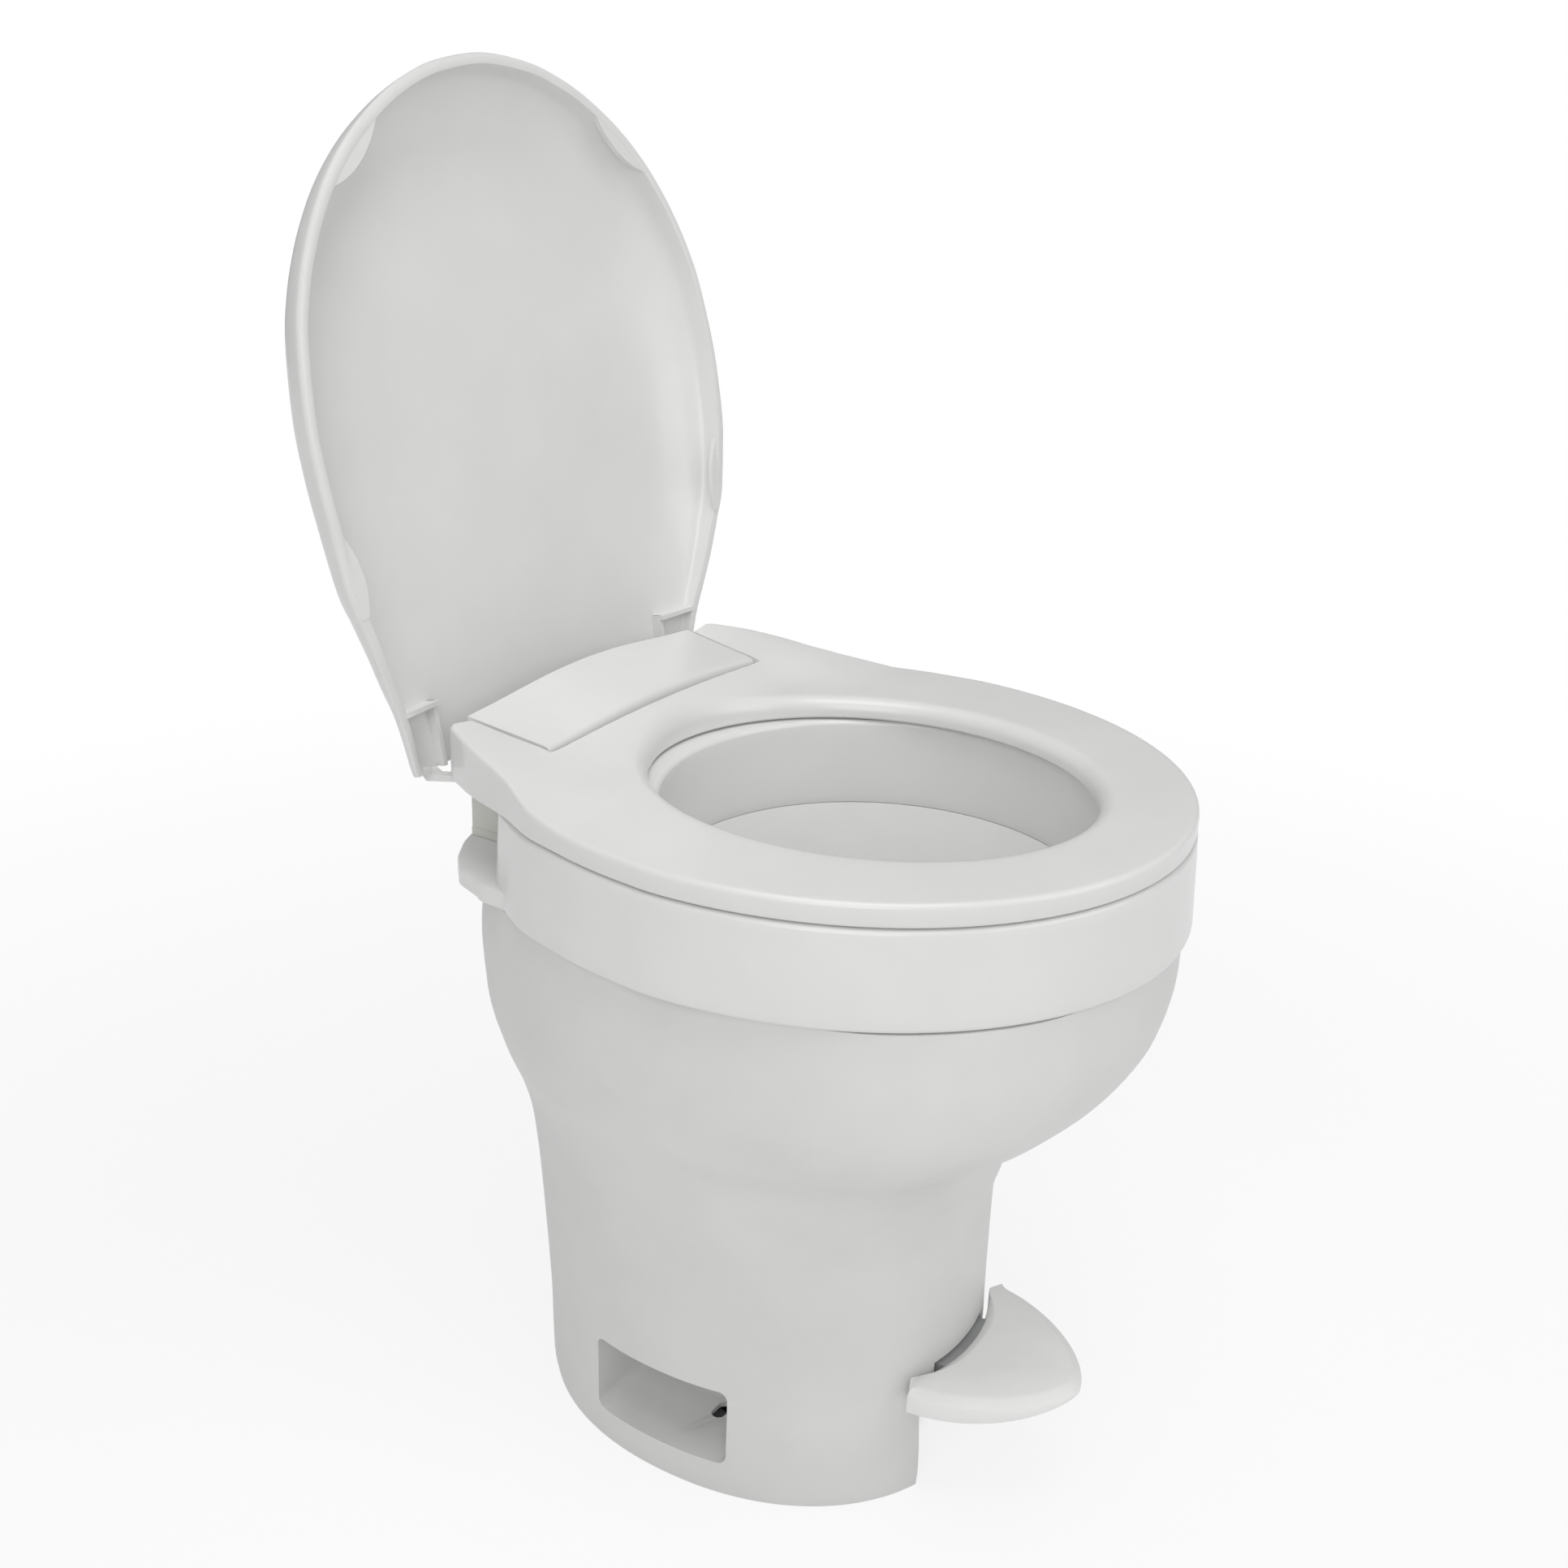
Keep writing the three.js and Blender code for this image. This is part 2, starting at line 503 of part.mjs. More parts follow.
const extruded = (points, depth) => new THREE.ExtrudeGeometry(
  new THREE.Shape(points.map(([u, v]) => new THREE.Vector2(u, v))), { depth, bevelEnabled: false, steps: 1 });

// an outline in X and Y raised from z0 to z1
const raised = (points, z0, z1) => solid(extruded(points, z1 - z0).translate(0, 0, z0));

// an outline in Y and Z carried from x0 to x1
const crosswise = (points, x0, x1) => {
  const turn = new THREE.Matrix4().makeBasis(
    new THREE.Vector3(0, 1, 0), new THREE.Vector3(0, 0, 1), new THREE.Vector3(1, 0, 0));
  return solid(extruded(points, x1 - x0).applyMatrix4(turn).translate(x0, 0, 0));
};

// triangles between rings that have the same number of points
const walls = (ringCount, pointCount, closed) => {
  const index = [];
  const steps = closed ? ringCount : ringCount - 1;
  for (let r = 0; r < steps; r += 1) {
    const next = (r + 1) % ringCount;
    for (let k = 0; k < pointCount; k += 1) {
      const a = r * pointCount + k;
      const b = r * pointCount + ((k + 1) % pointCount);
      const c = next * pointCount + ((k + 1) % pointCount);
      const d = next * pointCount + k;
      index.push(a, b, c, a, c, d);
    }
  }
  return index;
};

// rings of points, each [x, y, z], joined one to the next and the last to the first
const loop = (rings) => solid(meshFrom(rings.flat(2), walls(rings.length, rings[0].length, true)));

// rings joined one to the next, with both ends filled
const loft = (rings) => {
  const count = rings[0].length;
  const index = walls(rings.length, count, false);
  const fill = (r, flip) => THREE.ShapeUtils.triangulateShape(
    rings[r].map(([x, y]) => new THREE.Vector2(x, y)), [])
    .forEach(([a, b, c]) => index.push(...(flip ? [a, c, b] : [a, b, c]).map((k) => k + r * count)));
  fill(0, true);
  fill(rings.length - 1, false);
  return solid(meshFrom(rings.flat(2), index));
};

const signedPower = (value, power) => Math.sign(value) * Math.abs(value) ** power;

// rounded outline that reaches half width, front and rear, at one height
const oval = (halfWidth, front, rear, power, z) => {
  const points = [];
  for (let k = 0; k < LONG_SIDES; k += 1) {
    const angle = (k / LONG_SIDES) * Math.PI * 2;
    points.push([
      halfWidth * signedPower(Math.cos(angle), 2 / power),
      (rear - front) / 2 + ((front + rear) / 2) * signedPower(Math.sin(angle), 2 / power),
      z,
    ]);
  }
  return points;
};

// value read off a table of shares
const readOff = (knotShares, valueShares, share) => {
  const last = knotShares.length - 1;
  if (share <= knotShares[0]) return valueShares[0];
  if (share >= knotShares[last]) return valueShares[last];
  const k = knotShares.findIndex((knot) => knot >= share);
  const [low, high] = [valueShares[k - 1], valueShares[k]];
  return THREE.MathUtils.mapLinear(share, knotShares[k - 1], knotShares[k], low, high);
};

// a closed outline in X and Y moved inward by a distance
const SHARPEST_CORNER = 0.5; // cosine that limits how far a sharp corner is moved
const inset = (points, distance) => points.map((point, k) => {
  const before = points[(k + points.length - 1) % points.length];
  const after = points[(k + 1) % points.length];
  const first = new THREE.Vector2(point[0] - before[0], point[1] - before[1]).normalize();
  const second = new THREE.Vector2(after[0] - point[0], after[1] - point[1]).normalize();
  const normal = new THREE.Vector2(-first.y - second.y, first.x + second.x).normalize();
  const reach = distance / Math.max(normal.dot(new THREE.Vector2(-first.y, first.x)), SHARPEST_CORNER);
  return [point[0] + normal.x * reach, point[1] + normal.y * reach];
});

// a half outline that starts or ends on the middle line, with its other half
const mirrored = (points) => {
  const others = points.filter(([x]) => x !== 0).reverse();
  return [...points, ...others.map(([x, y]) => [-x, y])];
};

const atHeight = (points, z) => points.map(([x, y]) => [x, y, z]);

// a tube carried along a list of points
const hose = (points) => {
  const outline = new THREE.Shape().absarc(0, 0, HOSE_RADIUS, 0, Math.PI * 2, false);
  outline.holes.push(new THREE.Path().absarc(0, 0, HOSE_BORE, 0, Math.PI * 2, true));
  const path = new THREE.CatmullRomCurve3(points.map((point) => new THREE.Vector3(...point)));
  return new THREE.ExtrudeGeometry(outline, {
    steps: HOSE_STEPS, curveSegments: HOSE_SIDES, bevelEnabled: false, extrudePath: path,
  });
};

// points of an arc between two angles in degrees
const arc = (x, y, radius, from, to, steps) => {
  const points = [];
  for (let k = 0; k <= steps; k += 1) {
    const angle = THREE.MathUtils.degToRad(THREE.MathUtils.mapLinear(k, 0, steps, from, to));
    points.push([x + radius * Math.cos(angle), y + radius * Math.sin(angle)]);
  }
  return points;
};

// a slot with round ends; run is the distance between the end centres along X or Y
const slotX = (x, y, radius, run) => [
  ...arc(x + run / 2, y, radius, -90, 90, SMALL_SIDES / 2),
  ...arc(x - run / 2, y, radius, 90, 270, SMALL_SIDES / 2),
];

const slotY = (x, y, radius, run) => slotX(y, x, radius, run).map(([u, v]) => [v, u]).reverse();

// pedestal
const pedestalRing = (k, shrink, height = PEDESTAL_HEIGHT * PEDESTAL_HEIGHT_SHARES[k]) => oval(
  PEDESTAL_HALF_WIDTH * PEDESTAL_WIDTH_SHARES[k] - shrink,
  PEDESTAL_FRONT * PEDESTAL_FRONT_SHARES[k] - shrink,
  PEDESTAL_REAR * PEDESTAL_REAR_SHARES[k] - shrink, PEDESTAL_POWERS[k], height);

const pedestalOutside = () => PEDESTAL_HEIGHT_SHARES.map(
  (share, k) => pedestalRing(k, k === 0 ? FOOT_DRAFT : 0),
);

const pedestalInside = () => {
  const last = PEDESTAL_HEIGHT_SHARES.length - 1;
  const flangeTop = PEDESTAL_HEIGHT - FLANGE_DROP;
  const flangeLow = flangeTop - FLANGE_THICKNESS;
  return [
    pedestalRing(last, PEDESTAL_WALL),
    pedestalRing(last, PEDESTAL_WALL, flangeTop),
    pedestalRing(last, FLANGE_REACH_IN, flangeTop),
    pedestalRing(last, FLANGE_REACH_IN, flangeLow),
    pedestalRing(last, PEDESTAL_WALL, flangeLow),
    ...PEDESTAL_INSIDE_LEVELS.map((k) => pedestalRing(k, PEDESTAL_WALL)),
  ];
};

const pocketOutline = (wall) => [
  [PEDESTAL_HALF_WIDTH, POCKET_FRONT - wall],
  [PEDESTAL_HALF_WIDTH, POCKET_REAR + wall],
  ...arc(POCKET_INNER + POCKET_BACK_CORNER, POCKET_REAR - POCKET_BACK_CORNER, POCKET_BACK_CORNER + wall,
    90, 180, POCKET_BACK_STEPS),
  ...arc(POCKET_INNER + POCKET_CORNER, POCKET_FRONT + POCKET_CORNER, POCKET_CORNER + wall,
    180, 270, POCKET_FRONT_STEPS),
];

const pocketProfile = (wall) => [
  [POCKET_FRONT - wall, POCKET_FLOOR - wall],
  [POCKET_REAR + wall, POCKET_FLOOR - wall],
  [POCKET_REAR + wall, POCKET_TOP + wall],
  ...arc(POCKET_FRONT + POCKET_CORNER, POCKET_TOP - POCKET_CORNER, POCKET_CORNER + wall, 90, 180, 4),
];

const pocket = (wall) => raised(pocketOutline(wall), POCKET_FLOOR - wall, POCKET_TOP + wall)
  .intersect(crosswise(pocketProfile(wall), 0, PEDESTAL_HALF_WIDTH));

const boltSlot = () => raised(slotX(BOLT_SLOT_X, BOLT_SLOT_Y, BOLT_SLOT_RADIUS, BOLT_SLOT_RUN),
  POCKET_FLOOR - POCKET_WALL - OVERRUN, POCKET_FLOOR + OVERRUN);

const pedalDoor = () => {
  const [front, rear] = [-PEDESTAL_FRONT, -DOOR_REACH];
  return box(-DOOR_HALF_WIDTH, DOOR_HALF_WIDTH, front, rear, -OVERRUN, DOOR_TOP)
    .add(box(-DOOR_ARM_HALF_WIDTH, DOOR_ARM_HALF_WIDTH, front, rear, DOOR_TOP - OVERRUN, DOOR_ARM_TOP));
};

const makePedestal = () => {
  const filled = loft(pedestalOutside());
  let body = loop([...pedestalOutside(), ...pedestalInside()]);
  eachSide((side) => {
    const flip = (part) => (side < 0 ? part.mirror([1, 0, 0]) : part);
    body = body.add(flip(pocket(POCKET_WALL)).intersect(filled));
    body = body.subtract(flip(pocket(0))).subtract(flip(boltSlot()));
  });
  body = body.subtract(pedalDoor())
    .subtract(barY(INLET_RADIUS + FIT, INLET_FRONT, INLET_FRONT + INLET_LENGTH + OVERRUN, INLET_X, INLET_Z));
  addPiece('pedestal', shaped(body), SATIN_WHITE);
};

// a closed outline: half an ellipse in front, the left side going back, the rear edge, and the
// right side coming forward; the sides are shares of the way back and of the half width
const ringOutline = (halfWidth, frontLength, rearY, runShares, widthShares) => {
  const side = runShares.map((share, k) => [
    widthShares[k] * halfWidth, THREE.MathUtils.lerp(SEAT_WIDEST_Y, rearY, share)]);
  const rearHalfWidth = side[side.length - 1][0];
  return [
    ...arc(0, 0, 1, 0, -180, SEAT_FRONT_STEPS).map(
      ([u, v]) => [u * halfWidth, SEAT_WIDEST_Y + v * frontLength],
    ),
    ...side.map(([x, y]) => [-x, y]),
    ...SEAT_REAR_SHARES.map((share) => [-share * rearHalfWidth, rearY]),
    ...[...side].reverse(),
  ].reverse();
};

const HOLE_HALF_WIDTH = SEAT_HALF_WIDTH - SEAT_BORDER_SIDE;
const HOLE_FRONT = SEAT_FRONT_LENGTH - SEAT_WIDEST_Y - SEAT_BORDER_FRONT;
const HOLE_REAR = HINGE_Y - NOTCH_REACH - SEAT_BORDER_REAR;
const HOLE_Y = (HOLE_REAR - HOLE_FRONT) / 2;

// the point of an oval that lies on the way from the seat hole's middle to an outer point
const towards = ([x, y], halfWidth, front, rear) => {
  const middle = (rear - front) / 2;
  const half = (rear + front) / 2;
  const run = y - HOLE_Y;
  const a = (x / halfWidth) ** 2 + (run / half) ** 2;
  const b = (run * (HOLE_Y - middle)) / half ** 2;
  const c = ((HOLE_Y - middle) / half) ** 2 - 1;
  const share = (-b + Math.sqrt(b * b - a * c)) / a;
  return [x * share, HOLE_Y + run * share];
};

// rim band
const bandRings = () => {
  const outline = ringOutline(SEAT_HALF_WIDTH + BAND_OUTSET, SEAT_FRONT_LENGTH + BAND_OUTSET, BAND_REAR_Y,
    BAND_SIDE_RUN_SHARES, BAND_SIDE_WIDTH_SHARES);
  const ledge = outline.map((point) => towards(point, LEDGE_HALF_WIDTH, LEDGE_FRONT, LEDGE_REAR));
  return [
    atHeight(inset(outline, BAND_FOOT - BAND_FLARE), BAND_BOTTOM),
    atHeight(inset(outline, BAND_FOOT * CORNER_SHARE - BAND_FLARE), BAND_BOTTOM + BAND_FOOT * CORNER_SHARE),
    atHeight(inset(outline, -BAND_FLARE), BAND_BOTTOM + BAND_FOOT),
    atHeight(outline, BAND_TOP - BAND_EDGE),
    atHeight(inset(outline, BAND_EDGE), BAND_TOP),
    atHeight(inset(ledge, -BAND_EDGE), BAND_TOP),
    atHeight(ledge, BAND_TOP - BAND_EDGE),
    atHeight(ledge, BAND_BOTTOM),
    atHeight(inset(ledge, -BAND_WALL), BAND_BOTTOM),
    atHeight(inset(ledge, -BAND_WALL), BAND_TOP - BAND_WALL),
    atHeight(inset(outline, BAND_WALL), BAND_TOP - BAND_WALL),
    atHeight(inset(outline, BAND_WALL), BAND_BOTTOM),
  ];
};

const rearDeck = () => {
  const outline = mirrored(DECK_WIDTH_SHARES.map((share, k) => [
    share * DECK_HALF_WIDTH, DECK_REAR_SHARES[k] * DECK_REAR]));
  return raised(outline, BAND_BOTTOM, DECK_TOP)
    .subtract(raised(inset(outline, DECK_WALL), BAND_BOTTOM - OVERRUN, DECK_TOP - DECK_WALL));
};

const SEAT_BOLT_Y = HINGE_Y - SEAT_BOLT_SETBACK;

const seatBoltHoles = (low, high) => post(SEAT_BOLT_RADIUS + FIT, low, high, SEAT_BOLT_X, SEAT_BOLT_Y)
  .add(post(SEAT_BOLT_RADIUS + FIT, low, high, -SEAT_BOLT_X, SEAT_BOLT_Y));

const makeBand = () => {
  const body = loop(bandRings()).add(rearDeck()).subtract(seatBoltHoles(BAND_BOTTOM, DECK_TOP + OVERRUN));
  addPiece('rim_band', shaped(body), GLOSS_WHITE);
};

// bowl
const bowlRing = (k, grow, z = THREE.MathUtils.lerp(BOWL_LOW, PEDESTAL_HEIGHT, BOWL_DEPTH_SHARES[k])) => oval(
  LEDGE_HALF_WIDTH * BOWL_WIDTH_SHARES[k] + grow, LEDGE_FRONT * BOWL_FRONT_SHARES[k] + grow,
  LEDGE_REAR * BOWL_REAR_SHARES[k] + grow, 2, z);

const bossSpots = BOSS_TURNS.map((turn) => [
  BOSS_CIRCLE_RADIUS * Math.cos(turn), THROAT_Y + BOSS_CIRCLE_RADIUS * Math.sin(turn)]);

const makeBowl = () => {
  const last = BOWL_DEPTH_SHARES.length - 1;
  const flangeLow = PEDESTAL_HEIGHT - BOWL_FLANGE_THICKNESS;
  let body = loop([
    bowlRing(0, THROAT_FLANGE_REACH, THROAT_FLANGE_LOW),
    bowlRing(0, THROAT_FLANGE_REACH, THROAT_FLANGE_TOP),
    bowlRing(0, BOWL_WALL, THROAT_FLANGE_TOP),
    ...BOWL_OUTSIDE_LEVELS.map((k) => bowlRing(k, BOWL_WALL)),
    bowlRing(last, BOWL_WALL, flangeLow),
    bowlRing(last, BOWL_FLANGE_REACH, flangeLow),
    bowlRing(last, BOWL_FLANGE_REACH),
    ...BOWL_DEPTH_SHARES.map((share, k) => bowlRing(k, 0)).reverse(),
    bowlRing(0, 0, THROAT_FLANGE_LOW),
  ]);
  bossSpots.forEach(([x, y]) => {
    const [low, high] = [THROAT_FLANGE_LOW - OVERRUN, THROAT_FLANGE_TOP + OVERRUN];
    body = body.subtract(post(PLATE_SCREW_HOLE_RADIUS, low, high, x, y, SMALL_SIDES));
  });
  body = body.subtract(barY(NOZZLE_HOLE_RADIUS, 0, LEDGE_REAR + OVERRUN, NOZZLE_X, NOZZLE_Z));
  addPiece('bowl', shaped(body), GLOSS_WHITE);
};

// seat
const seatTop = ([x, y]) => {
  const width = Math.abs(x);
  const run = (y - RISE_START_Y) / RISE_RUN;
  const crown = RISE_CROWN * Math.max(1 - (width / NOTCH_REAR_HALF_WIDTH) ** 2, 0);
  const middle = RISE_MIDDLE * readOff(RISE_RUN_SHARES, RISE_MIDDLE_SHARES, run)
    + crown * THREE.MathUtils.smoothstep(y, CROWN_FRONT_Y, CROWN_REAR_Y);
  const edge = RISE_EDGE * readOff(RISE_RUN_SHARES, RISE_EDGE_SHARES, run);
  const outward = THREE.MathUtils.smoothstep(width, CREST_INNER, CREST_OUTER);
  return SEAT_TOP + THREE.MathUtils.lerp(middle, edge, outward);
};

const draped = (points, drop) => points.map((point) => [...point, seatTop(point) - drop]);

const seatRings = () => {
  const outline = ringOutline(SEAT_HALF_WIDTH, SEAT_FRONT_LENGTH, SEAT_REAR_Y, SEAT_SIDE_RUN_SHARES,
    SEAT_SIDE_WIDTH_SHARES);
  const hole = outline.map((point) => towards(point, HOLE_HALF_WIDTH, HOLE_FRONT, HOLE_REAR));
  const shoulder = inset(outline, SEAT_EDGE);
  const brow = inset(hole, -HOLE_EDGE);
  const across = (share) => shoulder.map(([x, y], k) => [
    THREE.MathUtils.lerp(x, brow[k][0], share), THREE.MathUtils.lerp(y, brow[k][1], share)]);
  return [
    atHeight(inset(outline, SEAT_LIP), SEAT_BOTTOM),
    atHeight(outline, SEAT_BOTTOM + SEAT_LIP),
    draped(outline, SEAT_EDGE),
    draped(inset(outline, SEAT_EDGE * CORNER_SHARE), SEAT_EDGE * CORNER_SHARE),
    draped(shoulder, 0),
    ...SEAT_CROSS_SHARES.map((share) => draped(across(share), 0)),
    ...HOLE_EDGE_RUN_SHARES.map((share, k) => draped(inset(hole, -HOLE_EDGE * share),
      HOLE_EDGE * HOLE_EDGE_DROP_SHARES[k])),
    atHeight(hole, SEAT_BOTTOM),
  ];
};

// the space for the hinge cover, whose front face turns clear about the hinge line
const seatNotch = () => {
  const front = HINGE_Y - NOTCH_REACH;
  const rear = HINGE_Y + COVER_REAR_REACH;
  const outline = [[-NOTCH_FRONT_HALF_WIDTH, front], [NOTCH_FRONT_HALF_WIDTH, front],
    [NOTCH_REAR_HALF_WIDTH, rear], [NOTCH_REAR_HALF_WIDTH, rear + NOTCH_REACH],
    [-NOTCH_REAR_HALF_WIDTH, rear + NOTCH_REACH], [-NOTCH_REAR_HALF_WIDTH, rear]];
  return barX(NOTCH_REACH, -SEAT_HALF_WIDTH, SEAT_HALF_WIDTH, HINGE_Y, HINGE_Z, LONG_SIDES * 2)
    .intersect(raised(outline, HINGE_Z - NOTCH_REACH, HINGE_Z + NOTCH_REACH));
};

// the space under each arm's top where the lid's ear turns, and the bore for the hinge pin
const armSlot = (side) => {
  const [low, high] = ends(side, CHEEK_OUTER, ARM_SLOT_OUTER);
  const [boreLow, boreHigh] = ends(side, CHEEK_OUTER, ARM_SLOT_OUTER + ARM_BORE_DEPTH);
  return box(low, high, HINGE_Y - ARM_SLOT_FRONT, SEAT_REAR_Y + OVERRUN, SEAT_BOTTOM - OVERRUN,
    HINGE_Z + ARM_SLOT_RISE)
    .add(barX(HINGE_BORE_RADIUS, boreLow, boreHigh, HINGE_Y, HINGE_Z));
};

const BUMPER_LOW = BAND_TOP + FIT;

const bumperSpots = [1, -1].flatMap((side) => BUMPER_TURNS.map((turn) => [
  side * (SEAT_HALF_WIDTH - BUMPER_INSET) * Math.cos(turn),
  SEAT_WIDEST_Y - (SEAT_FRONT_LENGTH - BUMPER_INSET) * Math.sin(turn)]));

const makeSeat = () => {
  let body = loop(seatRings()).subtract(seatNotch());
  eachSide((side) => {
    body = body.subtract(armSlot(side));
  });
  bumperSpots.forEach(([x, y]) => {
    body = body.subtract(post(BUMPER_RADIUS + FIT, SEAT_BOTTOM - OVERRUN, BUMPER_LOW + BUMPER_HEIGHT + FIT,
      x, y, SMALL_SIDES));
  });
  addPiece('seat', shaped(body).translate(0, -HINGE_Y, -HINGE_Z), GLOSS_WHITE, [0, HINGE_Y, HINGE_Z]);
};

const makeBumpers = () => bumperSpots.forEach(([x, y], k) => {
  addPiece(`seat_bumper_${k + 1}`, rod(BUMPER_RADIUS, 0, BUMPER_HEIGHT, 0, 0, SMALL_SIDES), BLACK_RUBBER,
    [x, y, BUMPER_LOW]);
});

// hinge bracket, pins and bolts
const PLATE_SEAT = DECK_TOP + FIT;
const BRACKET_TOP = PLATE_SEAT + BRACKET_PLATE;

const cheekProfile = () => {
  const rear = HINGE_Y + BRACKET_REAR_REACH;
  return [
    [HINGE_Y - CHEEK_BASE, PLATE_SEAT],
    [rear, PLATE_SEAT],
    [rear, COVER_PIVOT_Z - CHEEK_HEAD],
    [COVER_PIVOT_Y + CHEEK_HEAD, COVER_PIVOT_Z + CHEEK_HEAD],
    [COVER_PIVOT_Y - CHEEK_HEAD, COVER_PIVOT_Z + CHEEK_HEAD],
    [HINGE_Y - CHEEK_NECK, HINGE_Z + CHEEK_HEAD],
    [HINGE_Y - CHEEK_NECK, HINGE_Z - CHEEK_HEAD],
  ];
};

const makeBracket = () => {
  const half = CHEEK_OUTER + BRACKET_EDGE;
  const [front, rear] = [HINGE_Y - BRACKET_FRONT_REACH, HINGE_Y + BRACKET_REAR_REACH];
  let body = box(-half, half, front, rear, PLATE_SEAT, BRACKET_TOP)
    .subtract(seatBoltHoles(PLATE_SEAT - OVERRUN, BRACKET_TOP + OVERRUN));
  eachSide((side) => {
    const [low, high] = ends(side, CHEEK_INNER, CHEEK_OUTER);
    body = body.add(crosswise(cheekProfile(), low, high));
  });
  body = body.subtract(barX(HINGE_BORE_RADIUS, -half, half, HINGE_Y, HINGE_Z))
    .subtract(barX(COVER_BORE_RADIUS, -half, half, COVER_PIVOT_Y, COVER_PIVOT_Z, SMALL_SIDES));
  addPiece('hinge_bracket', shaped(body), SATIN_WHITE);
};

const makeHingePin = (name, side) => {
  const [low, high] = ends(side, CHEEK_INNER - PIN_END_GAP, ARM_SLOT_OUTER + ARM_BORE_DEPTH - PIN_END_GAP);
  addPiece(name, rodX(HINGE_PIN_RADIUS, low, high, 0, 0), STEEL, [0, HINGE_Y, HINGE_Z]);
};

const makeSeatBolt = (name, side) => {
  const head = BRACKET_TOP + FIT;
  const profile = [[0, DECK_TOP - SEAT_BOLT_REACH], [SEAT_BOLT_RADIUS, DECK_TOP - SEAT_BOLT_REACH],
    [SEAT_BOLT_RADIUS, head], [SEAT_BOLT_HEAD_RADIUS, head],
    [SEAT_BOLT_HEAD_RADIUS, head + SEAT_BOLT_HEAD_HEIGHT / 2],
    [SEAT_BOLT_RADIUS, head + SEAT_BOLT_HEAD_HEIGHT], [0, head + SEAT_BOLT_HEAD_HEIGHT]];
  addPiece(name, turned(profile, 0, 0), SATIN_WHITE, [side * SEAT_BOLT_X, SEAT_BOLT_Y, 0]);
};

const makeSeatNut = (name, side) => {
  const top = DECK_TOP - DECK_WALL - FIT;
  const body = post(SEAT_NUT_RADIUS, top - SEAT_NUT_HEIGHT, top, 0, 0, SEAT_NUT_SIDES)
    .subtract(post(SEAT_BOLT_RADIUS + FIT, top - SEAT_NUT_HEIGHT - OVERRUN, top + OVERRUN, 0, 0));
  addPiece(name, shaped(body), SATIN_WHITE, [side * SEAT_BOLT_X, SEAT_BOLT_Y, 0]);
};

// hinge cover
const coverRow = (share, roll, drop) => {
  const halfWidth = THREE.MathUtils.lerp(COVER_FRONT_HALF_WIDTH, COVER_REAR_HALF_WIDTH, share);
  const y = HINGE_Y + THREE.MathUtils.lerp(-COVER_FRONT_REACH, COVER_REAR_REACH, share);
  const points = [];
  for (let k = 0; k <= COVER_STEPS; k += 1) {
    const across = THREE.MathUtils.mapLinear(k, 0, COVER_STEPS, -1, 1);
    const front = COVER_FRONT_RISE - COVER_FRONT_SAG * Math.abs(across) ** COVER_FRONT_POWER;
    const rear = COVER_REAR_RISE - COVER_REAR_SAG * Math.abs(across) ** COVER_REAR_POWER;
    points.push([across * halfWidth, y, HINGE_Z + THREE.MathUtils.lerp(front, rear, share) - roll - drop]);
  }
  return points;
};

// each ring runs over the top of one row and back under it
const coverPlate = () => {
  const rollShare = COVER_ROLL / (COVER_FRONT_REACH + COVER_REAR_REACH);
  const rings = [
    [...coverRow(0, COVER_ROLL * COVER_ROLL_SHARE, 0), ...coverRow(0, COVER_ROLL, COVER_THICKNESS).reverse()],
    ...[rollShare, 1 / 2, 1].map((share) => [
      ...coverRow(share, 0, 0), ...coverRow(share, 0, COVER_THICKNESS).reverse()]),
  ];
  const count = rings[0].length;
  const index = walls(rings.length, count, false);
  const shift = (rings.length - 1) * count;
  for (let k = 0; k < COVER_STEPS; k += 1) {
    const [a, b, c, d] = [k, k + 1, count - 2 - k, count - 1 - k];
    index.push(a, c, b, a, d, c);
    index.push(a + shift, b + shift, c + shift, a + shift, c + shift, d + shift);
  }
  return solid(meshFrom(rings.flat(2), index));
};

const coverLug = (side) => {
  const outer = CHEEK_INNER - COVER_LUG_GAP;
  const inner = outer - COVER_LUG_WIDTH;
  const [low, high] = ends(side, inner, outer);
  const [pinLow, pinHigh] = ends(side, inner, CHEEK_OUTER - COVER_LUG_GAP);
  const underside = HINGE_Z + COVER_REAR_RISE - COVER_REAR_SAG - COVER_THICKNESS / 2;
  const rear = HINGE_Y + COVER_REAR_REACH - FIT;
  return barX(COVER_LUG_RADIUS, low, high, COVER_PIVOT_Y, COVER_PIVOT_Z, SMALL_SIDES)
    .add(box(low, high, COVER_PIVOT_Y - COVER_LUG_RADIUS, rear, COVER_PIVOT_Z, underside))
    .add(barX(COVER_PIN_RADIUS, pinLow, pinHigh, COVER_PIVOT_Y, COVER_PIVOT_Z, SMALL_SIDES));
};

const makeCover = () => {
  const body = coverPlate().add(coverLug(1)).add(coverLug(-1));
  addPiece('hinge_cover', shaped(body).translate(0, -COVER_PIVOT_Y, -COVER_PIVOT_Z), GLOSS_WHITE,
    [0, COVER_PIVOT_Y, COVER_PIVOT_Z]);
};

// lid
const LID_MIDDLE_Y = -LID_LENGTH * LID_MIDDLE_SHARE;

const lidOutline = (() => {
  const corners = mirrored(LID_OUTLINE_SHARES.map(([u, v]) => [u * LID_HALF_WIDTH, v * LID_LENGTH]));
  const curve = new THREE.CatmullRomCurve3(corners.map(([x, y]) => new THREE.Vector3(x, y, 0)), true);
  return curve.getSpacedPoints(LID_SIDES).slice(0, -1).map(({ x, y }) => [x, y]);
})();

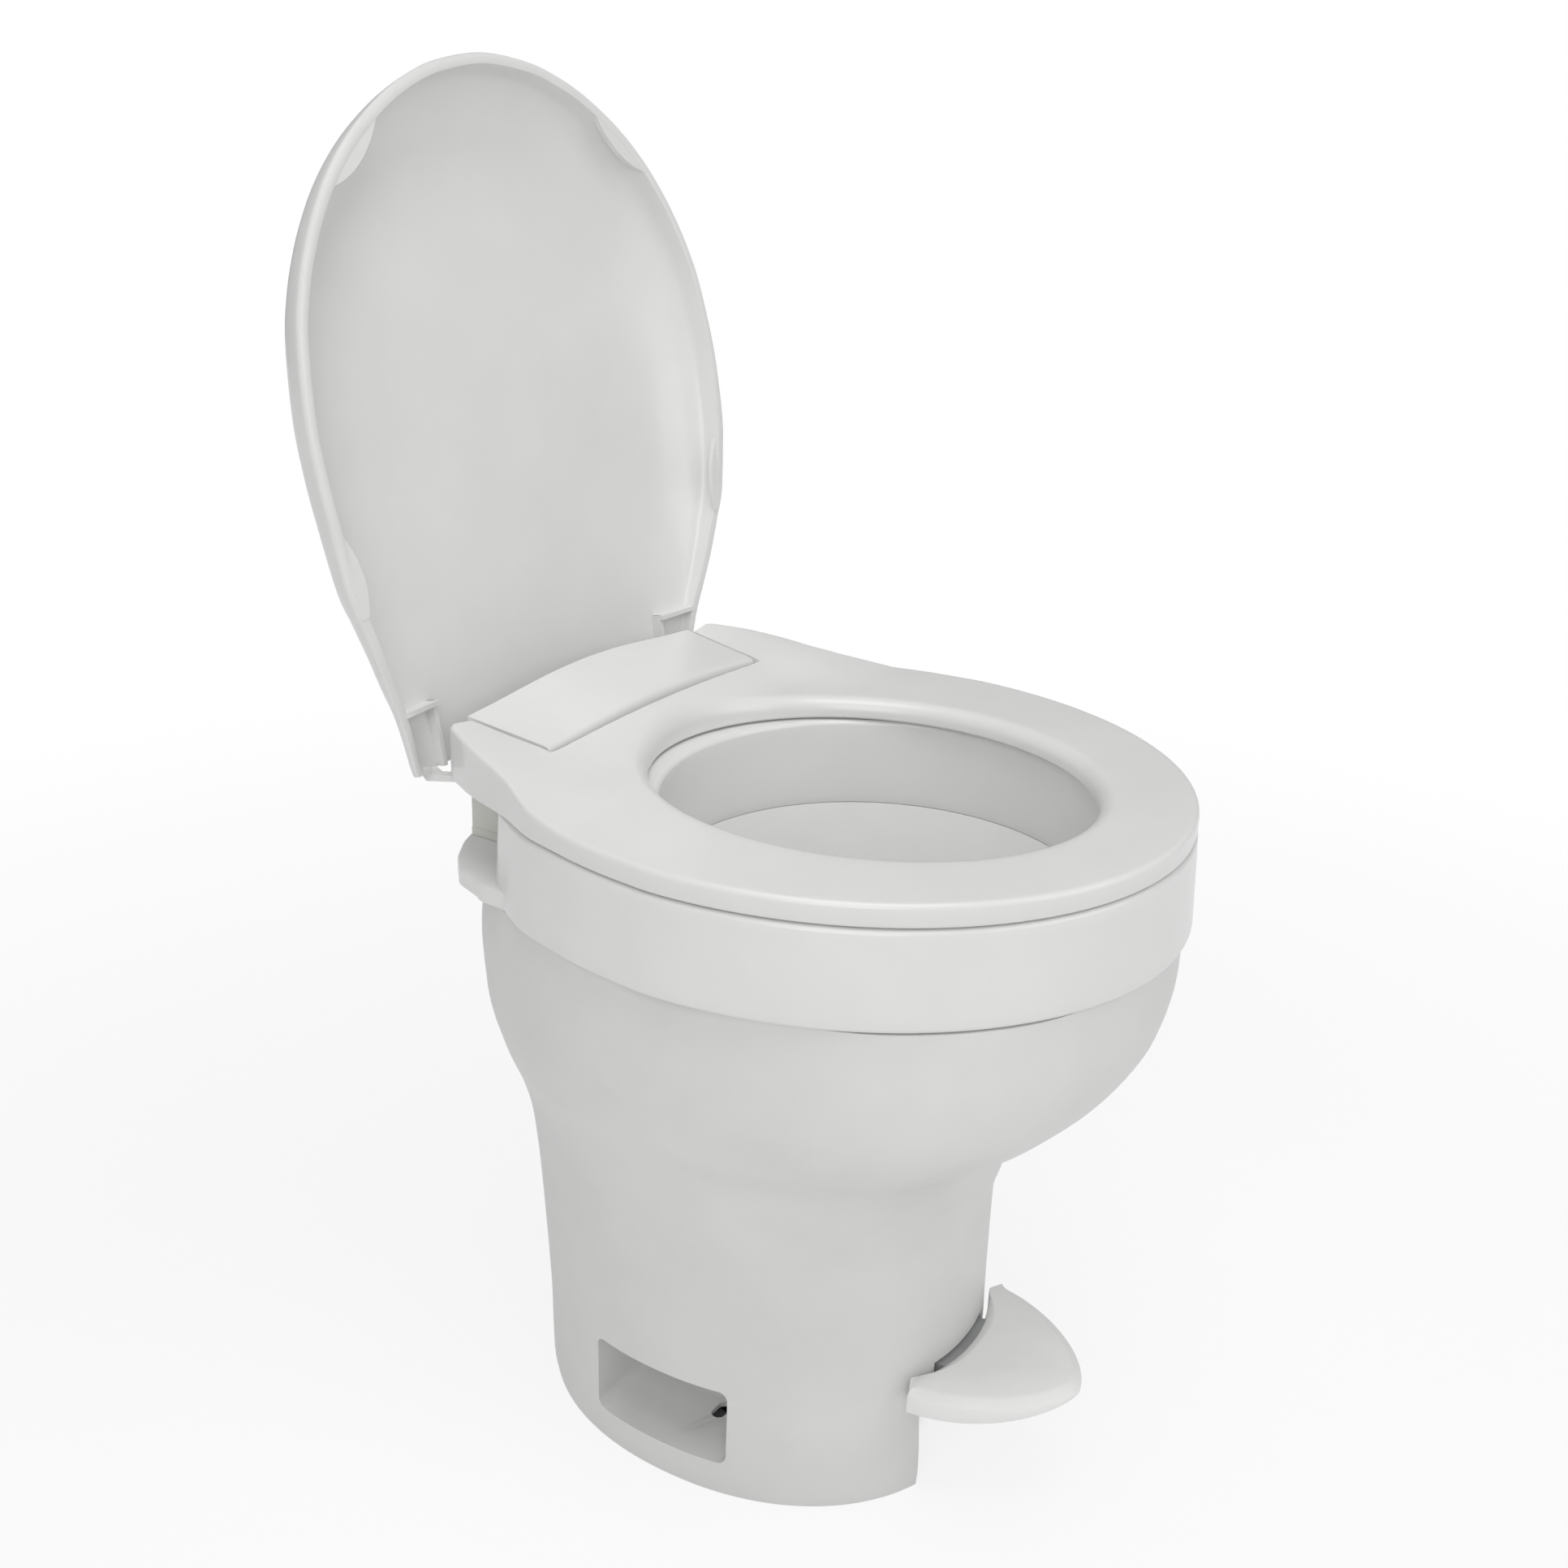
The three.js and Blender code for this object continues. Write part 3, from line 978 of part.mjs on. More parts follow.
const lidRise = (y) => {
  const run = (y - LID_MIDDLE_Y) / LID_RISE_RUN;
  return LID_RISE * readOff(LID_RISE_RUN_SHARES, LID_RISE_SHARES, run);
};

// the outline moved toward the middle of the lid; the rim climbs near the hinge and the crown stays level
const lidRing = (distance, z) => lidOutline.map(([x, y]) => {
  const run = new THREE.Vector2(x, y - LID_MIDDLE_Y);
  const share = 1 - distance / run.length();
  const level = THREE.MathUtils.smoothstep(z, LID_RIM_Z, LID_INNER_CROWN);
  return [x * share, LID_MIDDLE_Y + run.y * share, z + lidRise(y) * (1 - level)];
});

const lidSolid = (insetShares, heightShares, crown, rim) => {
  const rings = insetShares.map((share, k) => lidRing(share * LID_SHOULDER, heightShares[k] * crown));
  rings[0] = lidRing(insetShares[0] * LID_SHOULDER, rim);
  rings.unshift(lidRing(LID_INNER_INSET_SHARES[0] * LID_SHOULDER + OVERRUN, rim));
  rings.push(lidRing(LID_SHOULDER + FIT, crown));
  return loft(rings);
};

// the wall at the lid's rear edge and the small shelf inside each rear corner
const lidFoot = (side) => {
  const shelfInner = EAR_INNER - LID_SHELF_INSET;
  const [footLow, footHigh] = ends(side, ARM_SLOT_OUTER + LID_FOOT_GAP, SEAT_HALF_WIDTH);
  const [shelfLow, shelfHigh] = ends(side, shelfInner, shelfInner + LID_SHELF_WIDTH);
  const [wallLow, wallHigh] = ends(side, shelfInner, shelfInner + LID_FOOT_WALL);
  const footZ = LID_RIM_Z + LID_RISE;
  return box(footLow, footHigh, LID_REAR_END - LID_FOOT_WALL, LID_REAR_END, footZ, LID_OUTER_CROWN)
    .add(box(shelfLow, shelfHigh, LID_SHELF_Y, LID_SHELF_Y + LID_FOOT_WALL, LID_SHELF_LOW, LID_OUTER_CROWN))
    .add(box(wallLow, wallHigh, LID_SHELF_Y, LID_REAR_END, LID_SHELF_SIDE_LOW, LID_OUTER_CROWN));
};

// a crescent that rests on the seat, drawn between two points of the rim
const lidPad = (side, endShares) => {
  const [start, end] = endShares.map(
    ([u, v]) => new THREE.Vector2(side * u * LID_HALF_WIDTH, v * LID_LENGTH),
  );
  const middle = start.clone().add(end).multiplyScalar(1 / 2);
  const inward = new THREE.Vector2(-middle.x, LID_MIDDLE_Y - middle.y).normalize();
  const place = (share, depth) => start.clone().lerp(end, share).addScaledVector(inward, depth * PAD_DEPTH);
  const points = [];
  for (let k = 0; k <= PAD_STEPS; k += 1) {
    const share = k / PAD_STEPS;
    points.push(place(share, 2 * share * (1 - share)));
  }
  points.push(place(1, -1), place(0, -1));
  const outline = points.map(({ x, y }) => [x, y]);
  const low = LID_RIM_Z + lidRise(middle.y);
  return raised(side < 0 ? outline.reverse() : outline, low, low + PAD_THICKNESS);
};

const lidEar = (side) => {
  const [low, high] = ends(side, EAR_INNER, EAR_OUTER);
  const [barrelLow, barrelHigh] = ends(side, EAR_BARREL_INNER, EAR_OUTER);
  const profile = [[0, -EAR_RADIUS], [EAR_WEB_FRONT, -EAR_RADIUS], [EAR_WEB_REAR, 0],
    [EAR_WEB_REAR, EAR_SHOULDER], [LID_REAR_END, EAR_HEIGHT], [EAR_TIP, EAR_SHOULDER],
    [EAR_WEB_FRONT, EAR_SHOULDER - EAR_RADIUS],
    [EAR_WEB_FRONT, EAR_FILLET], [0, EAR_FILLET]];
  return crosswise(profile, low, high).add(barX(EAR_RADIUS, barrelLow, barrelHigh, 0, 0));
};

const makeLid = () => {
  const outer = lidSolid(LID_OUTER_INSET_SHARES, LID_OUTER_HEIGHT_SHARES, LID_OUTER_CROWN, LID_RIM_Z);
  const innerRim = LID_RIM_Z - LID_RISE - OVERRUN;
  const inner = lidSolid(LID_INNER_INSET_SHARES, LID_INNER_HEIGHT_SHARES, LID_INNER_CROWN, innerRim);
  let body = outer.subtract(inner);
  eachSide((side) => {
    body = body.add(lidFoot(side).intersect(outer));
    PAD_END_SHARES.forEach((endShares) => {
      body = body.add(lidPad(side, endShares).intersect(outer));
    });
  });
  body = body.intersect(box(-SEAT_HALF_WIDTH, SEAT_HALF_WIDTH, -LID_LENGTH - OVERRUN, LID_REAR_END, 0,
    LID_OUTER_CROWN + OVERRUN));
  body = body.add(lidEar(1)).add(lidEar(-1))
    .subtract(barX(HINGE_BORE_RADIUS, -SEAT_HALF_WIDTH, SEAT_HALF_WIDTH, 0, 0));
  const swing = new THREE.Group();
  swing.name = 'lid_swing';
  swing.position.set(0, HINGE_Y, HINGE_Z);
  swing.rotation.x = LID_OPEN_TURN;
  toilet.add(swing);
  addPiece('lid', shaped(body), GLOSS_WHITE, [0, 0, 0], swing);
};

// pedal
const PIVOT = [0, PIVOT_Y, PIVOT_Z];

const aboutPivot = (body) => shaped(body).translate(0, -PIVOT_Y, -PIVOT_Z);

const pedalOutline = () => {
  const points = [];
  for (let k = 0; k <= PEDAL_OUTER_STEPS; k += 1) {
    const angle = Math.PI * (1 + k / PEDAL_OUTER_STEPS);
    points.push([PEDAL_HALF_WIDTH * signedPower(Math.cos(angle), 2 / PEDAL_POWER),
      PEDAL_BACK_Y + PEDAL_REACH * signedPower(Math.sin(angle), 2 / PEDAL_POWER)]);
  }
  for (let k = 0; k <= PEDAL_INNER_STEPS; k += 1) {
    const x = PEDAL_INNER_HALF_WIDTH * THREE.MathUtils.mapLinear(k, 0, PEDAL_INNER_STEPS, 1, -1);
    points.push([x, PEDAL_HUG_Y - PEDAL_HUG_HALF_LENGTH * Math.sqrt(1 - (x / PEDAL_HUG_HALF_WIDTH) ** 2)]);
  }
  return points;
};

// the bevel runs round the front and ends where the pedal meets the column
const pedalTop = (outline) => inset(outline, PEDAL_BEVEL).map((point, k) => {
  if (k <= PEDAL_OUTER_STEPS) return point;
  const reach = Math.min(Math.abs(point[0]), PEDAL_INNER_HALF_WIDTH - PEDAL_BEVEL);
  return [Math.sign(point[0]) * reach, outline[k][1]];
});

const pedalUnderside = (outline) => outline.map(([x, y]) => {
  const share = THREE.MathUtils.clamp((PEDAL_BACK_Y - y) / PEDAL_REACH, 0, 1);
  return [x, y, PEDAL_BOTTOM + PEDAL_TIP_RISE * share ** PEDAL_TIP_POWER];
});

const ARM_LOW = ARM_TOP - ARM_THICKNESS;
const PEDAL_SCREW_TOP = ARM_LOW + PEDAL_SCREW_LENGTH;

const makePedalCover = () => {
  const outline = pedalOutline();
  const rings = [pedalUnderside(outline), atHeight(outline, PEDAL_TOP - PEDAL_BEVEL_DROP),
    atHeight(pedalTop(outline), PEDAL_TOP)];
  const body = loft(rings)
    .subtract(box(-PEDAL_HOLLOW_HALF_WIDTH, PEDAL_HOLLOW_HALF_WIDTH,
      PEDAL_HOLLOW_FRONT, PEDAL_BACK_Y + OVERRUN, PEDAL_BOTTOM - OVERRUN, PEDAL_HOLLOW_TOP))
    .subtract(post(PEDAL_SCREW_RADIUS + FIT, PEDAL_BOTTOM, PEDAL_SCREW_TOP + FIT,
      0, PEDAL_SCREW_Y, SMALL_SIDES));
  addPiece('pedal_cover', aboutPivot(body), SATIN_WHITE, PIVOT);
};

const armProfile = () => [
  [PIVOT_Y + ARM_HEEL, PIVOT_Z - ARM_HEEL],
  [PIVOT_Y - ARM_HEEL, PIVOT_Z - ARM_HEEL],
  [PIVOT_Y - ARM_BEND_LOW, ARM_LOW],
  [PEDAL_HOLLOW_FRONT + ARM_END_GAP, ARM_LOW],
  [PEDAL_HOLLOW_FRONT + ARM_END_GAP, ARM_TOP],
  [PIVOT_Y - ARM_BEND_TOP, ARM_TOP],
  [PIVOT_Y + ARM_HEEL, PIVOT_Z + ARM_HEEL],
];

const makePedalArm = () => {
  const length = ROD_REACH - ROD_START;
  const bladeRod = solid(new THREE.CylinderGeometry(ROD_RADIUS, ROD_RADIUS, length, SMALL_SIDES)
    .translate(0, ROD_START + length / 2, 0)
    .rotateX(Math.PI / 2 + ROD_LEAN)
    .translate(ROD_X, PIVOT_Y, PIVOT_Z));
  const body = crosswise(armProfile(), -ARM_HALF_WIDTH, ARM_HALF_WIDTH)
    .add(barX(ARM_HUB_RADIUS, -ARM_HUB_HALF_WIDTH, ARM_HUB_HALF_WIDTH, PIVOT_Y, PIVOT_Z))
    .add(bladeRod)
    .add(box(NOSE_INNER, NOSE_OUTER, PIVOT_Y, PIVOT_Y + NOSE_REACH, PIVOT_Z - NOSE_HALF_HEIGHT,
      PIVOT_Z + NOSE_HALF_HEIGHT))
    .subtract(barX(SHAFT_BORE_RADIUS, -SHAFT_HALF_LENGTH, SHAFT_HALF_LENGTH, PIVOT_Y, PIVOT_Z))
    .subtract(post(PEDAL_SCREW_RADIUS + FIT, ARM_LOW - OVERRUN, PEDAL_TOP, 0, PEDAL_SCREW_Y, SMALL_SIDES));
  addPiece('pedal_arm', aboutPivot(body), GREY_PLASTIC, PIVOT);
};

const makePedalShaft = () => {
  addPiece('pedal_shaft', rodX(SHAFT_RADIUS, -SHAFT_HALF_LENGTH, SHAFT_HALF_LENGTH, 0, 0), STEEL, PIVOT);
};

const makeReturnSpring = () => {
  const start = ARM_HUB_HALF_WIDTH + PIN_END_GAP;
  const body = barX(SPRING_RADIUS, start, start + SPRING_WIDTH, 0, 0)
    .subtract(barX(SHAFT_BORE_RADIUS, start - OVERRUN, start + SPRING_WIDTH + OVERRUN, 0, 0));
  addPiece('return_spring', shaped(body), STEEL, PIVOT);
};

const makePedalScrew = () => {
  const headLow = ARM_LOW - FIT - PEDAL_SCREW_HEAD_HEIGHT;
  addPiece('pedal_screw', headed(headLow, PEDAL_SCREW_TOP, PEDAL_SCREW_RADIUS, PEDAL_SCREW_HEAD_RADIUS,
    PEDAL_SCREW_HEAD_HEIGHT), STEEL, [0, PEDAL_SCREW_Y, 0]);
};

// outlet plate, which carries the pedal's shaft and is screwed up into the bowl
const BOSS_TOP = THROAT_FLANGE_LOW - FIT;

const hanger = (side) => {
  const [low, high] = ends(side, HANGER_INNER, HANGER_INNER + HANGER_WIDTH);
  const [front, rear] = [PIVOT_Y - HANGER_HALF_DEPTH, PIVOT_Y + HANGER_HALF_DEPTH];
  return box(low, high, front, rear, PIVOT_Z - HANGER_DROP, PLATE_TOP)
    .subtract(barX(SHAFT_RADIUS + FIT, low - OVERRUN, high + OVERRUN, PIVOT_Y, PIVOT_Z));
};

const makeValvePlate = () => {
  let body = post(PLATE_RADIUS, PLATE_LOW, PLATE_TOP, 0, THROAT_Y, RING_SIDES)
    .add(box(-PLATE_FRONT_HALF_WIDTH, PLATE_FRONT_HALF_WIDTH, PIVOT_Y - PLATE_FRONT_REACH, THROAT_Y,
      PLATE_LOW, PLATE_TOP))
    .add(post(OUTLET_RADIUS, OUTLET_LOW, PLATE_TOP, 0, THROAT_Y, RING_SIDES))
    .subtract(post(THROAT_RADIUS, OUTLET_LOW - OVERRUN, PLATE_TOP + OVERRUN, 0, THROAT_Y, RING_SIDES))
    .add(hanger(1)).add(hanger(-1));
  bossSpots.forEach(([x, y]) => {
    body = body.add(post(BOSS_RADIUS, PLATE_LOW, BOSS_TOP, x, y, SMALL_SIDES))
      .subtract(post(PLATE_SCREW_HOLE_RADIUS, PLATE_LOW - OVERRUN, BOSS_TOP + OVERRUN, x, y, SMALL_SIDES));
  });
  body = body
    .subtract(raised(slotY(ROD_X, PIVOT_Y, ROD_SLOT_RADIUS, ROD_SLOT_REACH * 2), PLATE_LOW - OVERRUN,
      PLATE_TOP + OVERRUN))
    .subtract(post(BLADE_BOLT_RADIUS + FIT, PLATE_LOW - OVERRUN, PLATE_TOP + OVERRUN, 0, PIVOT_Y));
  addPiece('valve_plate', shaped(body), GREY_PLASTIC);
};

const makePlateScrews = () => bossSpots.forEach(([x, y], k) => {
  const headLow = PLATE_LOW - FIT - PLATE_SCREW_HEAD_HEIGHT;
  addPiece(`plate_screw_${k + 1}`, headed(headLow, THROAT_FLANGE_TOP - FIT, PLATE_SCREW_RADIUS,
    PLATE_SCREW_HEAD_RADIUS, PLATE_SCREW_HEAD_HEIGHT), STEEL, [x, y, 0]);
});

// blade that swings clear of the throat, with a slotted tail that the pedal's rod pushes
const makeBlade = () => {
  const reach = THROAT_Y - PIVOT_Y;
  const tail = (start, length, halfWidth, low, top) => box(start, length, -halfWidth, halfWidth, low, top)
    .rotate([0, 0, THREE.MathUtils.radToDeg(BLADE_TAIL_TURN)]);
  const body = post(BLADE_RADIUS, BLADE_LOW, BLADE_TOP, 0, reach, RING_SIDES)
    .add(box(-BLADE_NECK_HALF_WIDTH, BLADE_NECK_HALF_WIDTH, 0, reach, BLADE_LOW, BLADE_TOP))
    .add(post(BLADE_HUB_RADIUS, BLADE_LOW, BLADE_TOP, 0, 0))
    .add(tail(0, BLADE_TAIL_LENGTH, BLADE_TAIL_HALF_WIDTH, BLADE_LOW, BLADE_TOP))
    .subtract(tail(BLADE_SLOT_START, BLADE_TAIL_LENGTH + OVERRUN, BLADE_SLOT_HALF_WIDTH,
      BLADE_LOW - OVERRUN, BLADE_TOP + OVERRUN))
    .subtract(post(BLADE_BORE_RADIUS, BLADE_LOW - OVERRUN, BLADE_TOP + OVERRUN, 0, 0));
  addPiece('outlet_blade', shaped(body), STEEL, [0, PIVOT_Y, 0]);
};

const makeBladeBolt = () => {
  const low = PLATE_LOW - BLADE_BOLT_REACH;
  const head = BLADE_TOP + BLADE_BOLT_GAP;
  const top = head + BLADE_BOLT_HEAD_HEIGHT;
  const profile = [[0, low], [BLADE_BOLT_RADIUS, low], [BLADE_BOLT_RADIUS, head],
    [BLADE_BOLT_HEAD_RADIUS, head], [BLADE_BOLT_HEAD_RADIUS, top], [0, top]];
  addPiece('blade_pivot_bolt', turned(profile, 0, 0), STEEL, [0, PIVOT_Y, 0]);
};

const makeSeals = () => {
  const floorInner = OUTLET_RADIUS + FIT * 2;
  addPiece('blade_seal', ring(SEAL_INNER, SEAL_INNER + SEAL_WIDTH, BLADE_TOP + FIT, THROAT_FLANGE_LOW - FIT),
    BLACK_RUBBER, [0, THROAT_Y, 0]);
  addPiece('floor_seal', ring(floorInner, floorInner + FLOOR_SEAL_WIDTH, FLOOR_SEAL_LOW, FLOOR_SEAL_TOP),
    BLACK_RUBBER, [0, THROAT_Y, 0]);
};

// water valve and the plunger that the pedal's nose lifts
const makeWaterValve = () => {
  const portStart = VALVE_X + VALVE_BORE_RADIUS + PORT_WALL;
  const body = post(VALVE_RADIUS, VALVE_LOW, PLATE_LOW - FIT, VALVE_X, VALVE_Y)
    .add(barX(PORT_RADIUS, portStart, PORT_END, VALVE_Y, PORT_LOW_Z, SMALL_SIDES))
    .add(barX(PORT_RADIUS, portStart, PORT_END, VALVE_Y, PORT_HIGH_Z, SMALL_SIDES))
    .subtract(post(VALVE_BORE_RADIUS, VALVE_LOW - OVERRUN, VALVE_BORE_TOP, VALVE_X, VALVE_Y));
  addPiece('water_valve', shaped(body), GREY_PLASTIC);
  const plunger = rod(PLUNGER_RADIUS, 0, PLUNGER_LENGTH, 0, 0);
  addPiece('valve_plunger', plunger, STEEL, [VALVE_X, VALVE_Y, PLUNGER_LOW]);
};

const makeInlet = () => {
  const body = barY(INLET_RADIUS, INLET_FRONT, INLET_FRONT + INLET_LENGTH, INLET_X, INLET_Z)
    .add(barY(INLET_FLANGE_RADIUS, INLET_FRONT, INLET_FRONT + INLET_FLANGE, INLET_X, INLET_Z))
    .add(barY(PORT_RADIUS, INLET_FRONT - INLET_BARB_LENGTH, INLET_FRONT, INLET_X, INLET_Z, SMALL_SIDES));
  addPiece('inlet_fitting', shaped(body), GREY_PLASTIC);
};

const makeHoses = () => {
  addPiece('supply_hose', hose(SUPPLY_HOSE), BLACK_RUBBER);
  addPiece('flush_hose', hose(FLUSH_HOSE), BLACK_RUBBER);
  addPiece('nozzle_hose', hose(NOZZLE_HOSE), BLACK_RUBBER);
};

// vacuum breaker with its float
const makeBreaker = () => {
  const inside = BREAKER_RADIUS - BREAKER_WALL;
  const top = BREAKER_LOW + BREAKER_HEIGHT;
  const floor = BREAKER_LOW + BREAKER_WALL;
  const body = post(BREAKER_RADIUS, BREAKER_LOW, top, BREAKER_X, BREAKER_Y)
    .add(post(PORT_RADIUS, BREAKER_LOW - BREAKER_STEM_LENGTH, BREAKER_LOW + PORT_WALL, BREAKER_X, BREAKER_Y,
      SMALL_SIDES))
    .add(barX(PORT_RADIUS, BREAKER_PORT_END, BREAKER_X - inside - PORT_WALL,
      BREAKER_Y, NOZZLE_Z, SMALL_SIDES))
    .subtract(post(inside, floor, top - BREAKER_WALL, BREAKER_X, BREAKER_Y))
    .subtract(post(BREAKER_VENT_RADIUS, top - BREAKER_WALL - OVERRUN, top + OVERRUN, BREAKER_X, BREAKER_Y));
  addPiece('vacuum_breaker', shaped(body), GREY_PLASTIC);
  addPiece('breaker_float', rod(FLOAT_RADIUS, 0, FLOAT_HEIGHT, 0, 0), GLOSS_WHITE,
    [BREAKER_X, BREAKER_Y, floor + FLOAT_LIFT]);
};

const makeNozzle = () => {
  const wall = LEDGE_REAR + BOWL_WALL + FIT;
  const body = barY(NOZZLE_RADIUS, wall - NOZZLE_LENGTH, wall, 0, 0)
    .add(barY(NOZZLE_FLANGE_RADIUS, wall, wall + NOZZLE_FLANGE, 0, 0))
    .add(barY(PORT_RADIUS, wall - FIT, wall + NOZZLE_TAIL - FIT, 0, 0, SMALL_SIDES));
  addPiece('flush_nozzle', shaped(body), GLOSS_WHITE, [NOZZLE_X, 0, NOZZLE_Z]);
};

makePedestal();
makeBand();
makeBowl();
makeSeat();
makeBumpers();
makeBracket();
makeHingePin('hinge_pin_left', -1);
makeHingePin('hinge_pin_right', 1);
makeSeatBolt('seat_bolt_left', -1);
makeSeatBolt('seat_bolt_right', 1);
makeSeatNut('seat_nut_left', -1);
makeSeatNut('seat_nut_right', 1);
makeCover();
makeLid();
makePedalCover();
makePedalArm();
makePedalShaft();
makeReturnSpring();
makePedalScrew();
makeValvePlate();
makePlateScrews();
makeBlade();
makeBladeBolt();
makeSeals();
makeWaterValve();
makeInlet();
makeHoses();
makeBreaker();
makeNozzle();

export default toilet;
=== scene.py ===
# %% [markdown]
# A pedal-flush toilet for a motorhome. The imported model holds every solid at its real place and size.
# This notebook dresses it: the mouldings that show are modelled again with fine, even meshes, and each
# surface gets the finish of its real material. Lengths are written in millimetres and turned to metres
# in one place.

# %% The frame and the units
import json
import math
import bpy
import numpy as np
from mathutils import Matrix, Vector


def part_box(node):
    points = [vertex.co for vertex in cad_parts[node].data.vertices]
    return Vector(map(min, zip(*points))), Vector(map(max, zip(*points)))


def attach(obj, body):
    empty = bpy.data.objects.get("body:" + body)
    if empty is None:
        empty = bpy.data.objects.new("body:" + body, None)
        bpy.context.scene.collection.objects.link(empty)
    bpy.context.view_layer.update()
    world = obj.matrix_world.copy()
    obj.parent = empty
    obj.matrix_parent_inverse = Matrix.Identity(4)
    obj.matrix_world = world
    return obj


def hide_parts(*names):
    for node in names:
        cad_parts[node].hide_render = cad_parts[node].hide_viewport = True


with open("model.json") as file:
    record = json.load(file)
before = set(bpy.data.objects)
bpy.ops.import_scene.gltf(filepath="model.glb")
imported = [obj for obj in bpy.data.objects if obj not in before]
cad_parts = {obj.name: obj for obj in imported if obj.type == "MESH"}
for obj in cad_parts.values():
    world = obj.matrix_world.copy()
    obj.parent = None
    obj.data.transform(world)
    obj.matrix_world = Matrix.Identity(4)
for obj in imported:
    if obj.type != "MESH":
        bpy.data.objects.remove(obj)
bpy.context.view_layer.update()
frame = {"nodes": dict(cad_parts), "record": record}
MM = 0.001


def span(node):
    """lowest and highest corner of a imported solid, in millimetres"""
    low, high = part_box(node)
    return np.array(low) / MM, np.array(high) / MM


# %% [markdown]
# Most mouldings here are skins: a closed outline that changes step by step. A grid primitive has the same
# order, so many columns round the outline and so many rows along the steps, and each of its points is laid
# on the skin. The alternative, extruding a circle ring by ring, gives the same mesh with more steps.


# %% Tools for skins
def clear_selection():
    if bpy.context.mode != "OBJECT":
        bpy.ops.object.mode_set(mode="OBJECT")
    bpy.ops.object.select_all(action="DESELECT")


def pick(piece):
    clear_selection()
    piece.select_set(True)
    bpy.context.view_layer.objects.active = piece


MERGE_DISTANCE = 2e-6


def tidy_mesh(piece, fill=False):
    """merges doubles, drops loose edges, fills open ends if asked, and turns the faces outward"""
    pick(piece)
    bpy.ops.object.mode_set(mode="EDIT")
    bpy.ops.mesh.select_all(action="SELECT")
    bpy.ops.mesh.remove_doubles(threshold=MERGE_DISTANCE)
    bpy.ops.mesh.delete_loose()
    if fill:
        bpy.ops.mesh.select_all(action="DESELECT")
        bpy.ops.mesh.select_non_manifold()
        bpy.ops.mesh.fill_holes(sides=0)
    bpy.ops.mesh.select_all(action="SELECT")
    bpy.ops.mesh.normals_make_consistent(inside=False)
    bpy.ops.object.mode_set(mode="OBJECT")


def skin(name, rings, fill=False):
    """a grid primitive laid on rings of points in millimetres; equal first and last points close it"""
    rings = np.asarray(rings, float)
    rows, columns = rings.shape[:2]
    clear_selection()
    bpy.ops.mesh.primitive_grid_add(x_subdivisions=columns - 1, y_subdivisions=rows - 1, size=1)
    piece = bpy.context.object
    piece.name = name
    for vertex in piece.data.vertices:
        column = round((vertex.co.x + 0.5) * (columns - 1))
        row = round((vertex.co.y + 0.5) * (rows - 1))
        vertex.co = Vector(rings[row, column] * MM)
    tidy_mesh(piece, fill)
    return piece


def eased(knots, values, at):
    """values read off a table by a smooth curve that never overshoots its knots"""
    knots, values, at = (np.asarray(part, float) for part in (knots, values, at))
    slopes = np.diff(values) / np.diff(knots)
    same = slopes[:-1] * slopes[1:] > 0
    middle = np.zeros(len(slopes) - 1)
    middle[same] = 2 * slopes[:-1][same] * slopes[1:][same] / (slopes[:-1] + slopes[1:])[same]
    tangents = np.concatenate([slopes[:1], middle, slopes[-1:]])
    at = np.clip(at, knots[0], knots[-1])
    k = np.clip(np.searchsorted(knots, at, side="right") - 1, 0, len(knots) - 2)
    width = knots[k + 1] - knots[k]
    t = (at - knots[k]) / width
    return ((2 * t ** 3 - 3 * t ** 2 + 1) * values[k] + (t ** 3 - 2 * t ** 2 + t) * width * tangents[k]
            + (3 * t ** 2 - 2 * t ** 3) * values[k + 1] + (t ** 3 - t ** 2) * width * tangents[k + 1])


def blended(share, low, high):
    """0 up to low, 1 from high, smooth between"""
    t = np.clip((np.asarray(share, float) - low) / (high - low), 0, 1)
    return t * t * (3 - 2 * t)


def resampled(points, count):
    """a closed outline with its points at even distances; the last point repeats the first"""
    points = np.vstack([points, points[:1]])
    travel = np.concatenate([[0], np.cumsum(np.linalg.norm(np.diff(points, axis=0), axis=1))])
    at = np.linspace(0, travel[-1], count + 1)
    return np.column_stack([np.interp(at, travel, points[:, k]) for k in range(points.shape[1])])


def inset(outline, distance):
    """a closed outline moved inward; negative moves it out"""
    ring = outline[:-1]
    run = np.roll(ring, -1, axis=0) - np.roll(ring, 1, axis=0)
    area = np.sum(ring[:, 0] * np.roll(ring[:, 1], -1) - np.roll(ring[:, 0], -1) * ring[:, 1])
    normal = np.column_stack([-run[:, 1], run[:, 0]]) * np.sign(area)
    normal /= np.linalg.norm(normal, axis=1)[:, None]
    moved = ring + normal * distance
    return np.vstack([moved, moved[:1]])


def at_height(outline, z):
    return np.column_stack([outline, np.broadcast_to(z, len(outline))])


def quarter(steps):
    """angles of a quarter round, both ends left in"""
    return np.linspace(0, math.pi / 2, steps + 1)


# %% [markdown]
# Pockets, notches and slots are cut with booleans, as they are milled into the mould. The cutters are
# primitives at their real size. A narrow bevel then breaks the cut edge, because a moulded edge is
# never quite sharp.


# %% Tools for cuts
def block(low, high):
    low, high = np.array(low, float), np.array(high, float)
    clear_selection()
    bpy.ops.mesh.primitive_cube_add(size=1, location=(low + high) / 2 * MM)
    piece = bpy.context.object
    piece.scale = (high - low) * MM
    bpy.ops.object.transform_apply(location=True, rotation=True, scale=True)
    return piece


HOLE_SIDES = 32
SCREW_SIDES = 16


